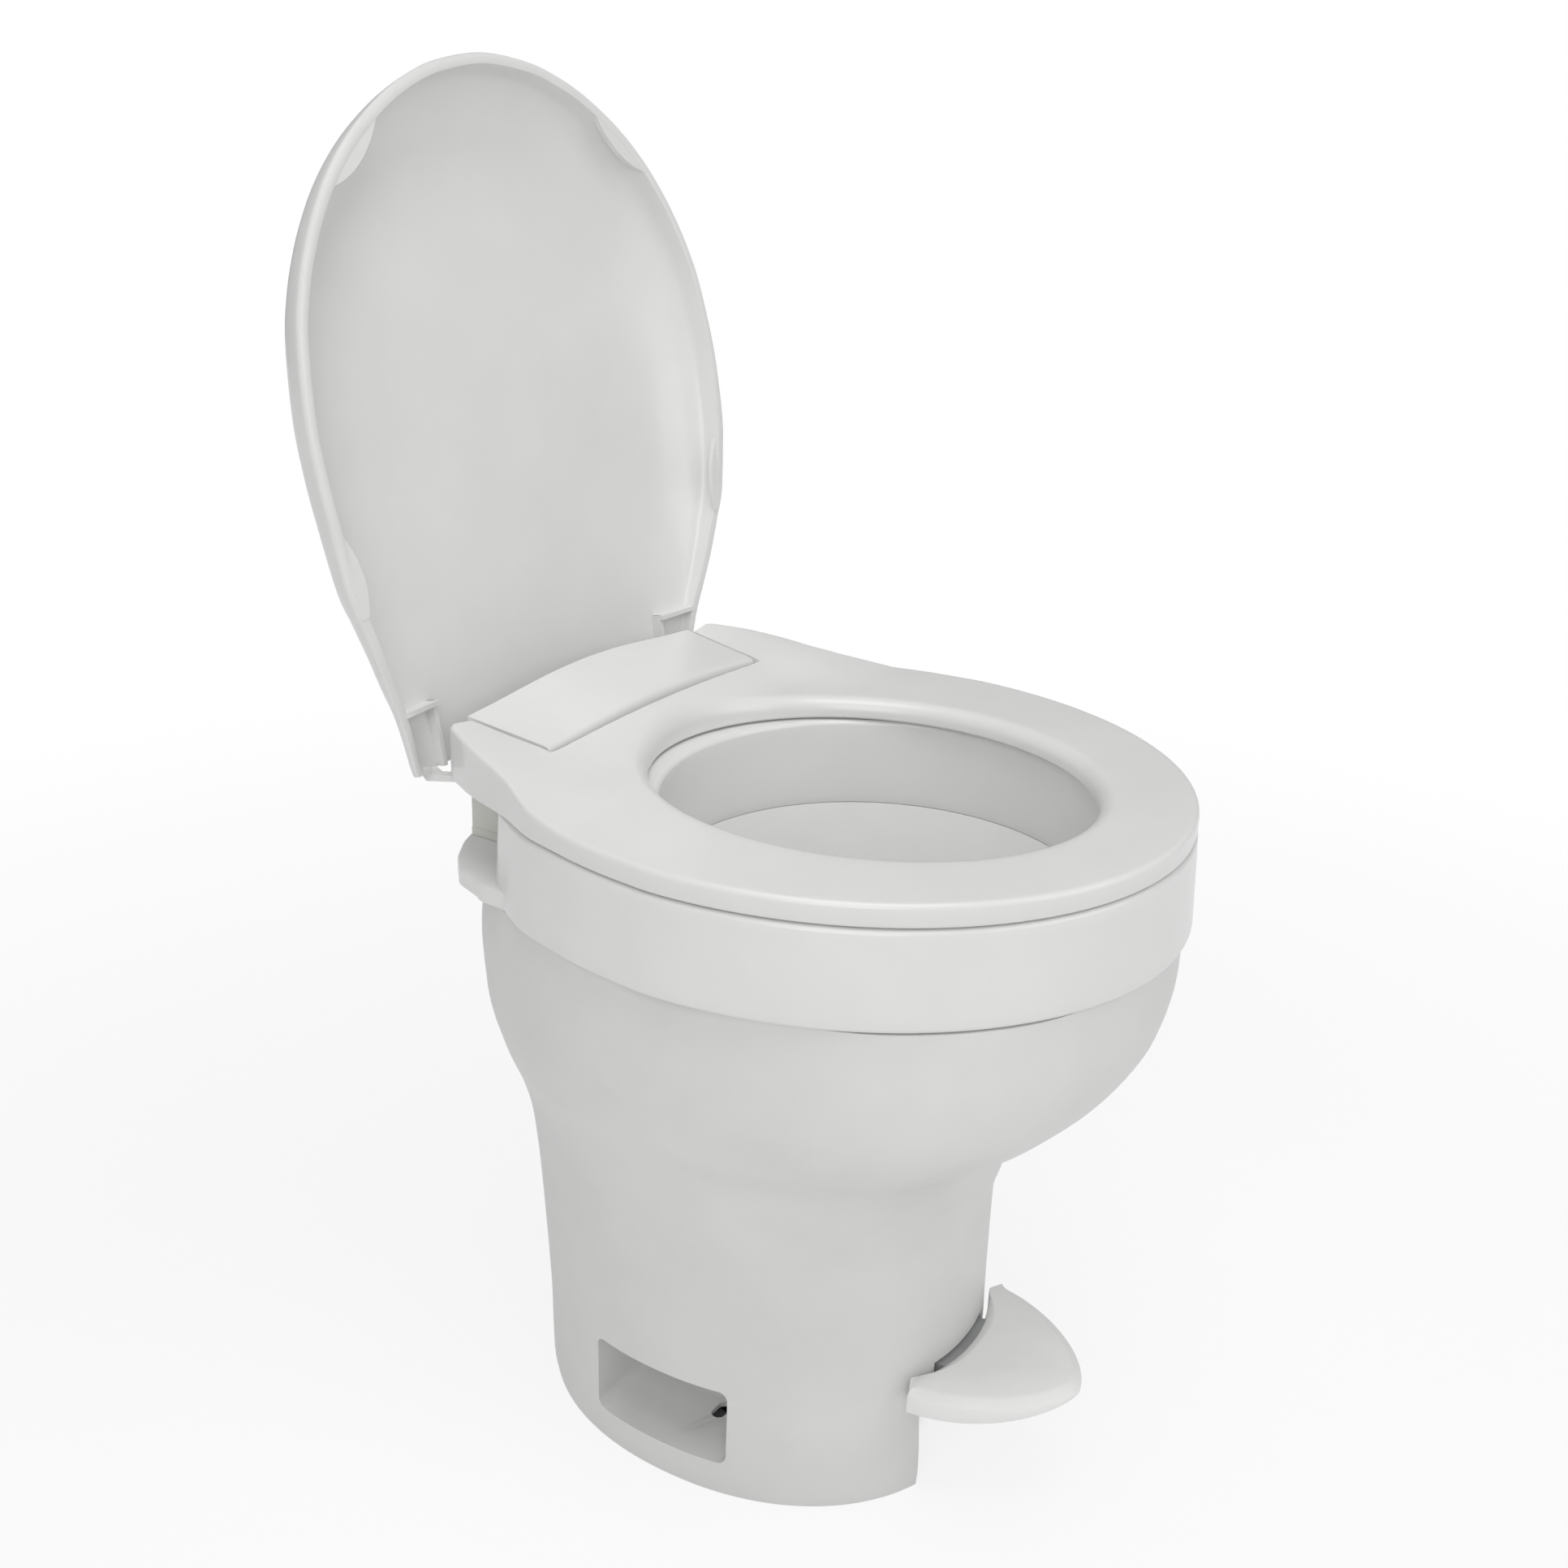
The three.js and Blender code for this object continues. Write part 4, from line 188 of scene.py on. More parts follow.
def bar(radius, start, end, sides=HOLE_SIDES):
    """a round bar from one point to another, in millimetres"""
    start, end = Vector(start) * MM, Vector(end) * MM
    run = end - start
    clear_selection()
    bpy.ops.mesh.primitive_cylinder_add(
        vertices=sides, radius=radius * MM, depth=run.length, location=(start + end) / 2,
        rotation=run.to_track_quat("Z", "Y").to_euler())
    bpy.ops.object.transform_apply(location=True, rotation=True, scale=True)
    return bpy.context.object


def slab(outline, low, high, place):
    """a flat outline carried from low to high; place turns (u, v, w) into x, y, z"""
    outline = np.asarray(outline, float)
    closed = np.vstack([outline, outline[:1]])
    return skin("slab", [[place(u, v, w) for u, v in closed] for w in (low, high)], fill=True)


def use(piece, kind, other, keep_other=False, crossing=False):
    """joins, cuts or intersects a piece with another one; crossing is for skins that cross themselves"""
    step = piece.modifiers.new(kind, "BOOLEAN")
    step.operation = kind
    step.solver = "EXACT"
    step.use_self = crossing
    step.object = other
    pick(piece)
    bpy.ops.object.modifier_apply(modifier=step.name)
    if not keep_other:
        bpy.data.objects.remove(other)
    return piece


def soften(piece, width, segments=2, angle=40):
    """breaks the sharp edges"""
    step = piece.modifiers.new("edge break", "BEVEL")
    step.width = width * MM
    step.segments = segments
    step.limit_method = "ANGLE"
    step.angle_limit = math.radians(angle)
    step.use_clamp_overlap = True
    pick(piece)
    bpy.ops.object.modifier_apply(modifier=step.name)


def finish(piece, name, body, node, material, smooth=35):
    """shades a finished piece, gives it its material and hangs it on its body"""
    pick(piece)
    bpy.ops.object.shade_smooth_by_angle(angle=math.radians(smooth))
    piece.name = name
    piece.data.name = name
    piece.data.materials.clear()
    piece.data.materials.append(material)
    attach(piece, body)
    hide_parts(node)
    print(name, len(piece.data.polygons), "faces")


# %% [markdown]
# The photograph looks down on the left front corner. A camera is its place, three directions and a focal
# length, so the directions are written as the picture's right, up and back.

# %% Camera
CAMERA_PLACE = (-897.2, -539.7, 835.4)
CAMERA_AZIMUTH = math.radians(-58.81)
CAMERA_RISE = math.radians(21.28)
CAMERA_ROLL = math.radians(2.25)
CAMERA_LENS = 42.91
SENSOR = 36.0

back = Vector((math.sin(CAMERA_AZIMUTH) * math.cos(CAMERA_RISE),
               -math.cos(CAMERA_AZIMUTH) * math.cos(CAMERA_RISE), math.sin(CAMERA_RISE)))
level = Vector((math.cos(CAMERA_AZIMUTH), math.sin(CAMERA_AZIMUTH), 0))
upright = back.cross(level)
right = level * math.cos(CAMERA_ROLL) + upright * math.sin(CAMERA_ROLL)
up = upright * math.cos(CAMERA_ROLL) - level * math.sin(CAMERA_ROLL)
camera_data = bpy.data.cameras.new("camera")
camera_data.lens = CAMERA_LENS
camera_data.sensor_width = SENSOR
camera = bpy.data.objects.new("camera", camera_data)
bpy.context.scene.collection.objects.link(camera)
turn = Matrix((right, up, back)).transposed().to_4x4()
camera.matrix_world = Matrix.Translation(Vector(CAMERA_PLACE) * MM) @ turn
bpy.context.scene.camera = camera
print("camera", [round(v, 3) for v in camera.location])

# %% [markdown]
# Each finish is a Principled shader with procedural detail. White sanitary plastic is never one flat
# white: the pigment drifts a little over a hand's breadth, the tool leaves a fine grain, and the gloss
# varies where it was handled. Colours are written as sRGB hex and turned to linear by one function.


# %% Tools for materials
def to_linear(hex_colour):
    channels = [int(hex_colour[k:k + 2], 16) / 255 for k in (0, 2, 4)]
    return [c / 12.92 if c <= 0.04045 else ((c + 0.055) / 1.055) ** 2.4 for c in channels] + [1.0]


def add_node(tree, kind, settings=None, values=None, links=None):
    """adds a shader node, with its settings, its input values and the sockets it is fed from"""
    node = tree.nodes.new(kind)
    for key, value in (settings or {}).items():
        setattr(node, key, value)
    for key, value in (values or {}).items():
        node.inputs[key].default_value = value
    for key, socket in (links or {}).items():
        tree.links.new(socket, node.inputs[key])
    return node


def moulded_plastic(name, light, dark, roughness, drift_mm, grain_mm, grain_depth, coat=0.0):
    """injection-moulded plastic: clouded pigment, tool grain and handled gloss"""
    material = bpy.data.materials.new(name)
    material.use_nodes = True
    tree = material.node_tree
    shader = tree.nodes["Principled BSDF"]
    place = add_node(tree, "ShaderNodeTexCoord").outputs["Object"]
    drift = add_node(tree, "ShaderNodeTexNoise", None,
                     {"Scale": 1 / (drift_mm * MM), "Detail": 3.0, "Roughness": 0.55}, {"Vector": place})
    colour = add_node(tree, "ShaderNodeValToRGB", None, None, {"Fac": drift.outputs["Fac"]})
    colour.color_ramp.elements[0].position = 0.3
    colour.color_ramp.elements[0].color = to_linear(dark)
    colour.color_ramp.elements[1].position = 0.7
    colour.color_ramp.elements[1].color = to_linear(light)
    grain = add_node(tree, "ShaderNodeTexNoise", None,
                     {"Scale": 1 / (grain_mm * MM), "Detail": 2.0}, {"Vector": place})
    gloss = add_node(tree, "ShaderNodeMapRange", None,
                     {"To Min": roughness - 0.05, "To Max": roughness + 0.06},
                     {"Value": drift.outputs["Fac"]})
    bump = add_node(tree, "ShaderNodeBump", None, {"Strength": 0.35, "Distance": grain_depth * MM},
                    {"Height": grain.outputs["Fac"]})
    tree.links.new(colour.outputs["Color"], shader.inputs["Base Color"])
    tree.links.new(gloss.outputs["Result"], shader.inputs["Roughness"])
    tree.links.new(bump.outputs["Normal"], shader.inputs["Normal"])
    shader.inputs["IOR"].default_value = 1.49
    shader.inputs["Coat Weight"].default_value = coat
    shader.inputs["Coat Roughness"].default_value = 0.12
    return material


def brushed_metal(name, light, dark, roughness, line_mm):
    """drawn or brushed steel: fine lines along one way and a slightly uneven gloss"""
    material = bpy.data.materials.new(name)
    material.use_nodes = True
    tree = material.node_tree
    shader = tree.nodes["Principled BSDF"]
    place = add_node(tree, "ShaderNodeTexCoord").outputs["Object"]
    stretch = add_node(tree, "ShaderNodeMapping", None, {"Scale": (0.04, 1.0, 1.0)}, {"Vector": place})
    lines = add_node(tree, "ShaderNodeTexNoise", None,
                     {"Scale": 1 / (line_mm * MM), "Detail": 4.0}, {"Vector": stretch.outputs["Vector"]})
    colour = add_node(tree, "ShaderNodeValToRGB", None, None, {"Fac": lines.outputs["Fac"]})
    colour.color_ramp.elements[0].color = to_linear(dark)
    colour.color_ramp.elements[1].color = to_linear(light)
    gloss = add_node(tree, "ShaderNodeMapRange", None,
                     {"To Min": roughness - 0.06, "To Max": roughness + 0.1}, {"Value": lines.outputs["Fac"]})
    bump = add_node(tree, "ShaderNodeBump", None, {"Strength": 0.3, "Distance": 0.02 * MM},
                    {"Height": lines.outputs["Fac"]})
    tree.links.new(colour.outputs["Color"], shader.inputs["Base Color"])
    tree.links.new(gloss.outputs["Result"], shader.inputs["Roughness"])
    tree.links.new(bump.outputs["Normal"], shader.inputs["Normal"])
    shader.inputs["Metallic"].default_value = 1.0
    return material


# %% [markdown]
# The pedestal and the pedal are satin ABS from a spark-eroded tool, so their highlights spread wide. The
# seat, lid, band and hinge cover are polypropylene from a polished tool, which shows soft bright lines on
# every rounded edge. The bowl is the glossiest, so that it rinses clean.

# %% Materials
# spark-eroded mould: a wide, soft highlight that shows the column's curve
satin_abs = moulded_plastic("satin_white_abs", "e6e6e5", "dfdfde", 0.42, 90, 0.9, 0.05)
# the same finish painted whiter for the pedal: painted light on its up-facing top, which makes the pedal
# stand out from the column
painted_light_pedal_abs = moulded_plastic("satin_white_painted_light_pedal_abs", "f8f8f7", "f2f2f1", 0.45, 60, 0.9, 0.05)
# polished mould: a thin bright line along each rounded edge
gloss_pp = moulded_plastic("gloss_white_polypropylene", "eaeae9", "e4e4e3", 0.30, 110, 2.5, 0.02, 0.25)
# the glossiest mould face: the bowl mirrors its own rim a little
bowl_gloss = moulded_plastic("polished_white_bowl_plastic", "fbfbfa", "f6f6f5", 0.22, 80, 4.0, 0.02, 0.4)
# machined-looking small mouldings, a shade duller than the covers
hinge_white = moulded_plastic("white_acetal", "dcdcd7", "d2d2cc", 0.40, 60, 0.8, 0.04)
# glass fibre near the surface: a dry, slightly rough grey
grey_nylon = moulded_plastic("grey_glass_filled_nylon", "a5a7a6", "949695", 0.55, 25, 0.5, 0.08)
# extruded and cured rubber: almost no highlight
black_rubber = moulded_plastic("black_epdm_rubber", "37383a", "28292b", 0.72, 20, 0.4, 0.1)
# drawn wire and sheet: fine lines that stretch the highlight
stainless = brushed_metal("brushed_stainless_steel", "c9ccce", "aeb2b5", 0.30, 0.6)
# the pedal cover takes the whiter copy of the satin ABS, with its painted light
SLOT_MATERIALS = {
    "pedestal": satin_abs, "band": gloss_pp, "bowl": bowl_gloss, "seat": gloss_pp, "lid": gloss_pp,
    "hinge_cover": gloss_pp, "bracket": hinge_white, "bolt_nylon": hinge_white, "pedal_cover": painted_light_pedal_abs,
    "grey_plastic": grey_nylon, "pin_steel": stainless, "black_rubber": black_rubber,
}
for part in frame["record"]["subparts"]:
    solid = frame["nodes"][part["node"]]
    solid.data.materials.clear()
    solid.data.materials.append(SLOT_MATERIALS[part["material_slot"]])
print("materials", len(bpy.data.materials))

# %% [markdown]
# The pedestal is one large moulding. Its outline is an oval that is squarer than an ellipse, and it changes
# with the height: straight column below, then the bulge that carries the bowl. A table of shares of the
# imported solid's own size gives the oval at each height, and a smooth curve runs through the table.

# %% Pedestal outline
pedestal_low, pedestal_high = span("pedestal")
PEDESTAL_HEIGHT = pedestal_high[2]
LEVEL_SHARES = [0, 0.037, 0.158, 0.316, 0.448, 0.527, 0.58, 0.646, 0.725, 0.8175, 0.91, 1]
WIDTH_SHARES = [0.653, 0.665, 0.667, 0.6835, 0.705, 0.739, 0.77, 0.825, 0.922, 0.9915, 1, 0.9936]
FRONT_SHARES = [0.615, 0.617, 0.608, 0.6006, 0.5985, 0.625, 0.653, 0.714, 0.862, 0.9725, 0.9987, 1]
REAR_SHARES = [0.843, 0.855, 0.863, 0.882, 0.9, 0.908, 0.913, 0.931, 0.954, 0.982, 1, 0.978]
ROUNDNESS = [2.12, 2.12, 2.12, 2.12, 2.12, 2.12, 2.15, 2.2, 2.28, 2.32, 2.32, 2.32]
SIDES = 144
LEVELS = 90


def signed_power(value, power):
    return np.sign(value) * np.abs(value) ** power


def oval(half_width, front, rear, power, sides=SIDES):
    angle = np.linspace(0, 2 * math.pi, sides + 1)
    outline = np.column_stack([
        half_width * signed_power(np.cos(angle), 2 / power),
        (rear - front) / 2 + (front + rear) / 2 * signed_power(np.sin(angle), 2 / power)])
    outline[-1] = outline[0]
    return outline


def pedestal_ring(z, shrink=0.0):
    share = z / PEDESTAL_HEIGHT
    return at_height(oval(
        pedestal_high[0] * eased(LEVEL_SHARES, WIDTH_SHARES, share) - shrink,
        -pedestal_low[1] * eased(LEVEL_SHARES, FRONT_SHARES, share) - shrink,
        pedestal_high[1] * eased(LEVEL_SHARES, REAR_SHARES, share) - shrink,
        eased(LEVEL_SHARES, ROUNDNESS, share)), z)


# %% [markdown]
# The shell is about 5 mm thick all over, as a large moulding is, so the same ovals run back down inside. It
# could be a solid with a thickness modifier, but rings laid outside and inside keep the wall even at the
# small foot round. A filled copy of the outside is kept for a while to trim what is joined to the shell.

# %% Pedestal shell
WALL = 5.0
FOOT_ROUND = 1.6
LEVEL_HEIGHTS = np.linspace(FOOT_ROUND, PEDESTAL_HEIGHT, LEVELS)
foot_rings = [pedestal_ring(FOOT_ROUND * (1 - math.sin(a)), FOOT_ROUND * (1 - math.cos(a)))
              for a in quarter(3)[::-1]][:-1]
outer_rings = foot_rings + [pedestal_ring(z) for z in LEVEL_HEIGHTS]
inner_rings = [pedestal_ring(z, WALL) for z in np.linspace(PEDESTAL_HEIGHT, 0, 28)]
pedestal = skin("pedestal_moulding", outer_rings + inner_rings + outer_rings[:1])
core = skin("pedestal_core", outer_rings, fill=True)
print("pedestal", len(pedestal.data.polygons), "faces")

# %% [markdown]
# A pocket in each side lets a hand reach the floor bolt. It has its own walls, so the pocket's outside is
# joined to the shell first, trimmed to the pedestal's skin, and the hollow is cut last.

# %% Side pockets
POCKET_LOW = (66.0, -46.0, 25.0)
POCKET_HIGH = (150.0, 52.0, 79.0)
POCKET_WALL = 3.5
POCKET_ROUND = 6.0
BOLT_SLOT = (79.0, -16.0)
BOLT_SLOT_RADIUS = 4.5
BOLT_SLOT_RUN = 7.0
OVERRUN = 5.0


def pocket_body(side, grow, rounding):
    low = np.array(POCKET_LOW) - grow
    high = np.array(POCKET_HIGH) + grow
    xs = sorted((side * low[0], side * high[0]))
    body = block((xs[0], low[1], low[2]), (xs[1], high[1], high[2]))
    soften(body, rounding, segments=5)
    return body


for side in (-1, 1):
    liner = pocket_body(side, POCKET_WALL, POCKET_ROUND + POCKET_WALL)
    use(liner, "INTERSECT", core, keep_other=True)
    use(pedestal, "UNION", liner)
for side in (-1, 1):
    use(pedestal, "DIFFERENCE", pocket_body(side, 0.0, POCKET_ROUND))
    x, y = BOLT_SLOT
    start = x - BOLT_SLOT_RUN / 2
    slot_cut = bar(BOLT_SLOT_RADIUS, (side * start, y, POCKET_LOW[2] - POCKET_WALL - OVERRUN),
                   (side * start, y, POCKET_LOW[2] + OVERRUN))
    for vertex in slot_cut.data.vertices:
        if side * vertex.co.x > start * MM:
            vertex.co.x += side * BOLT_SLOT_RUN * MM
    use(pedestal, "DIFFERENCE", slot_cut)
bpy.data.objects.remove(core)
print("pedestal with pockets", len(pedestal.data.polygons), "faces")

# %% [markdown]
# The opening under the pedal lets its arm go down. The arm passes through a narrower slot above the door.

# %% Pedal door and inlet hole
DOOR_HALF_WIDTH = 43.1
DOOR_TOP = 72.0
ARM_DOOR_HALF_WIDTH = 32.0
ARM_DOOR_TOP = 87.4
DOOR_REACH = -100.0
INLET_PLACE = (40.0, 66.0)
INLET_RADIUS = 9.3
INLET_CUT_START = 120
INLET_SIDES = 48
front_cut = pedestal_low[1]
use(pedestal, "DIFFERENCE", block((-DOOR_HALF_WIDTH, front_cut, -OVERRUN),
                                  (DOOR_HALF_WIDTH, DOOR_REACH, DOOR_TOP)))
use(pedestal, "DIFFERENCE", block((-ARM_DOOR_HALF_WIDTH, front_cut, DOOR_TOP - OVERRUN),
                                  (ARM_DOOR_HALF_WIDTH, DOOR_REACH, ARM_DOOR_TOP)))
inlet_x, inlet_z = INLET_PLACE
use(pedestal, "DIFFERENCE", bar(INLET_RADIUS, (inlet_x, INLET_CUT_START, inlet_z),
                                (inlet_x, pedestal_high[1] + OVERRUN, inlet_z), INLET_SIDES))
soften(pedestal, 1.3, segments=3, angle=45)
finish(pedestal, "pedestal_moulding", "base", "pedestal", satin_abs)

# %% [markdown]
# Seat and band share one outline: half an ellipse in front, sides that draw in toward the hinge, and a
# straight rear edge. The sides follow a table of half widths, and the whole outline is then cut into even
# steps, which keeps the faces square.

# %% Seat outline
seat_low, seat_high = span("seat")
SEAT_HALF = seat_high[0]
SEAT_REAR = seat_high[1]
SEAT_WIDEST_Y = -31.7
SEAT_FRONT_LENGTH = SEAT_WIDEST_Y - seat_low[1]
SIDE_Y = [SEAT_WIDEST_Y, -4, 16, 36, 58, 72, 86, 104, 124, 138, 147.2, SEAT_REAR]
SIDE_WIDTH_SHARES = [1, 0.9845, 0.966, 0.9396, 0.907, 0.871, 0.8326, 0.7986, 0.7593, 0.7206, 0.6952, 0.674]
SEAT_SIDES = 264


def ring_outline(half_width, front_length, side_y, side_x, rear_y, count=SEAT_SIDES):
    angle = np.linspace(0, -math.pi, 200)
    front = np.column_stack([half_width * np.cos(angle), SEAT_WIDEST_Y + front_length * np.sin(angle)])
    y = np.linspace(SEAT_WIDEST_Y, rear_y, 160)
    x = eased(side_y, side_x, y)
    left = np.column_stack([-x, y])[1:]
    rear = np.column_stack([np.linspace(-x[-1], x[-1], 90), np.full(90, rear_y)])[1:-1]
    facing = np.column_stack([x, y])[:0:-1]
    return resampled(np.vstack([front, left, rear, facing]), count)


side_widths = np.array(SIDE_WIDTH_SHARES) * SEAT_HALF
seat_outline = ring_outline(SEAT_HALF, SEAT_FRONT_LENGTH, SIDE_Y, side_widths, SEAT_REAR)
HOLE_Y = -56.2
HOLE_HALF = 122.3
HOLE_FRONT = 133.7 - HOLE_Y
HOLE_REAR = 134.7 + HOLE_Y


def towards(outline, half_width, front, rear):
    """where the way from the hole's middle to each outline point crosses an oval"""
    middle, half = (rear - front) / 2, (rear + front) / 2
    run = outline - np.array([0, HOLE_Y])
    a = (run[:, 0] / half_width) ** 2 + (run[:, 1] / half) ** 2
    b = run[:, 1] * (HOLE_Y - middle) / half ** 2
    c = ((HOLE_Y - middle) / half) ** 2 - 1
    share = (-b + np.sqrt(b * b - a * c)) / a
    return np.array([0, HOLE_Y]) + run * share[:, None]


print("seat outline", len(seat_outline), "points, half width", round(SEAT_HALF, 1))

# %% [markdown]
# The seat is flat in front and climbs at the back to reach over the hinge. Its outer edge has a small
# round, and the hole a large one, which is the bright ring that the eye sees first.

# %% Seat skin
SEAT_TOP = 450.0
SEAT_BOTTOM = seat_low[2]
SEAT_EDGE = 3.3
SEAT_LIP = 1.5
HOLE_EDGE = 9.0
RISE_Y = [30, 60, 78, 88, 96, 120, 153]
RISE_MIDDLE = [0, 1, 4, 7, 9.5, 12.5, 17]
RISE_EDGE = [0, 4.2, 8.6, 11, 12.8, 17, 22.6]
RISE_CROWN = 3.5
CROWN_START, CROWN_END = 70, 96
NOTCH_REAR_HALF = 115.0
CREST_INNER = 95.0
CREST_OUTER = 150.0


def seat_top(points):
    width, y = np.abs(points[:, 0]), points[:, 1]
    crown = RISE_CROWN * np.maximum(1 - (width / NOTCH_REAR_HALF) ** 2, 0)
    middle = eased(RISE_Y, RISE_MIDDLE, y) + crown * blended(y, CROWN_START, CROWN_END)
    share = blended(width, CREST_INNER, CREST_OUTER)
    return SEAT_TOP + middle * (1 - share) + eased(RISE_Y, RISE_EDGE, y) * share


def draped(outline, drop=0.0):
    return np.column_stack([outline, seat_top(outline) - drop])


hole = towards(seat_outline, HOLE_HALF, HOLE_FRONT, HOLE_REAR)
shoulder = inset(seat_outline, SEAT_EDGE)
brow = inset(hole, -HOLE_EDGE)
seat_rings = [at_height(inset(seat_outline, SEAT_LIP * (1 - math.sin(a))),
                        SEAT_BOTTOM + SEAT_LIP * (1 - math.cos(a)))
              for a in quarter(3)]
for a in quarter(6):
    edge = inset(seat_outline, SEAT_EDGE * (1 - math.cos(a)))
    seat_rings.append(draped(edge, SEAT_EDGE * (1 - math.sin(a))))
for share in np.linspace(0, 1, 18)[1:-1]:
    seat_rings.append(draped(shoulder * (1 - share) + brow * share))
for a in quarter(9):
    edge = inset(hole, -HOLE_EDGE * (1 - math.sin(a)))
    seat_rings.append(draped(edge, HOLE_EDGE * (1 - math.cos(a))))
seat_rings.append(at_height(inset(hole, 0), SEAT_BOTTOM + SEAT_LIP))
seat_rings.append(at_height(inset(hole, -SEAT_LIP), SEAT_BOTTOM))
seat = skin("seat_moulding", seat_rings + seat_rings[:1])
print("seat", len(seat.data.polygons), "faces")

# %% [markdown]
# The hinge cover drops into a notch in the seat whose front face is a part of a cylinder round the hinge, so
# the seat can turn past it. Each arm beside the notch has a slot for the lid's ear and a bore for the pin.

# %% Seat notch and slots
HINGE_Y = 144.0
HINGE_Z = 447.4
NOTCH_RADIUS = 52.6
NOTCH_FRONT_HALF = 110.6
COVER_FRONT_Y = 96.1
COVER_REAR_Y = 153.3
SLOT_INNER, SLOT_OUTER = 106.5, 127.2
SLOT_RISE = 9.0
SLOT_FRONT = 13.5
BORE_RADIUS = 3.5
BORE_END = 132.2
FIT = 0.3
NOTCH_SIDES = 256
notch = bar(NOTCH_RADIUS, (-SEAT_HALF, HINGE_Y, HINGE_Z), (SEAT_HALF, HINGE_Y, HINGE_Z), NOTCH_SIDES)
notch_plan = [(-NOTCH_FRONT_HALF, COVER_FRONT_Y - OVERRUN), (NOTCH_FRONT_HALF, COVER_FRONT_Y - OVERRUN),
              (NOTCH_REAR_HALF, COVER_REAR_Y), (NOTCH_REAR_HALF, SEAT_REAR + NOTCH_RADIUS),
              (-NOTCH_REAR_HALF, SEAT_REAR + NOTCH_RADIUS), (-NOTCH_REAR_HALF, COVER_REAR_Y)]
use(notch, "INTERSECT", slab(notch_plan, HINGE_Z - NOTCH_RADIUS, HINGE_Z + NOTCH_RADIUS,
                             lambda u, v, w: (u, v, w)))
use(seat, "DIFFERENCE", notch)
for side in (-1, 1):
    low, high = sorted((side * SLOT_INNER, side * SLOT_OUTER))
    bore_low, bore_high = sorted((side * SLOT_INNER, side * BORE_END))
    use(seat, "DIFFERENCE", block((low, HINGE_Y - SLOT_FRONT, SEAT_BOTTOM - OVERRUN),
                                  (high, SEAT_REAR + OVERRUN, HINGE_Z + SLOT_RISE)))
    use(seat, "DIFFERENCE", bar(BORE_RADIUS, (bore_low, HINGE_Y, HINGE_Z), (bore_high, HINGE_Y, HINGE_Z)))
for bumper in ("seat_bumper_1", "seat_bumper_2", "seat_bumper_3", "seat_bumper_4"):
    low, high = span(bumper)
    x, y = (low[:2] + high[:2]) / 2
    use(seat, "DIFFERENCE", bar((high[1] - low[1]) / 2 + FIT, (x, y, SEAT_BOTTOM - OVERRUN),
                                (x, y, high[2] + FIT)))
soften(seat, 1.1, segments=3, angle=45)
finish(seat, "seat_moulding", "seat_body", "seat", gloss_pp)

# %% [markdown]
# The rim band joins the bowl to the pedestal. Its skirt stands a little proud all round, and behind it a low
# deck carries the hinge. A rounded lower edge throws the fine shadow line above the pedestal.

# %% Rim band
band_low, band_high = span("rim_band")
BAND_BOTTOM, BAND_TOP = band_low[2], band_high[2]
BAND_OUTSET = 0.6
BAND_FLARE = 3.0
BAND_ROUND = 3.0
BAND_WALL = 4.0
BAND_REAR = 101.0
BAND_SIDE_Y = [SEAT_WIDEST_Y, -4, 16, 36, 58, 75, 87, 99, BAND_REAR]
BAND_SIDE_X = [SEAT_HALF + BAND_OUTSET, 191.2, 187.6, 182.3, 175.6, 166.5, 158.6, 150.6, 147]
LEDGE_HALF, LEDGE_FRONT, LEDGE_REAR = 129.5, 191.0, 66.0
band_outline = ring_outline(SEAT_HALF + BAND_OUTSET, SEAT_FRONT_LENGTH + BAND_OUTSET,
                            BAND_SIDE_Y, BAND_SIDE_X, BAND_REAR)
ledge = towards(band_outline, LEDGE_HALF, LEDGE_FRONT, LEDGE_REAR)


def skirt(z, extra=0.0):
    """the band's outside at one height, which stands further out toward its foot"""
    share = (BAND_TOP - z) / (BAND_TOP - BAND_BOTTOM)
    return at_height(inset(band_outline, extra - BAND_FLARE * share), z)


band_rings = [skirt(BAND_BOTTOM + BAND_ROUND * (1 - math.sin(a)), BAND_ROUND * (1 - math.cos(a)))
              for a in quarter(4)[::-1]]
band_rings += [skirt(z) for z in np.linspace(BAND_BOTTOM + BAND_ROUND, BAND_TOP - BAND_ROUND, 12)[1:]]
band_rings += [skirt(BAND_TOP - BAND_ROUND * (1 - math.sin(a)), BAND_ROUND * (1 - math.cos(a)))
               for a in quarter(4)[1:]]
band_rings += [at_height(inset(ledge, -BAND_ROUND * (1 - math.sin(a))),
                         BAND_TOP - BAND_ROUND * (1 - math.cos(a)))
               for a in quarter(5)]
band_rings += [at_height(ledge, z) for z in np.linspace(BAND_TOP - BAND_ROUND, BAND_BOTTOM, 10)[1:]]
band_rings += [at_height(inset(ledge, -BAND_WALL), BAND_BOTTOM),
               at_height(inset(ledge, -BAND_WALL), BAND_TOP - BAND_WALL),
               at_height(inset(band_outline, BAND_WALL), BAND_TOP - BAND_WALL),
               at_height(inset(band_outline, BAND_WALL), BAND_BOTTOM)]
band = skin("rim_band_moulding", band_rings + band_rings[:1])

# %% [markdown]
# Behind the ring the same moulding goes on as a low deck that carries the hinge. It is a flat half oval with
# a rounded edge and a hollow underside. A separate plan joined to the band keeps the step between the two
# crisp, as it is on the toilet.

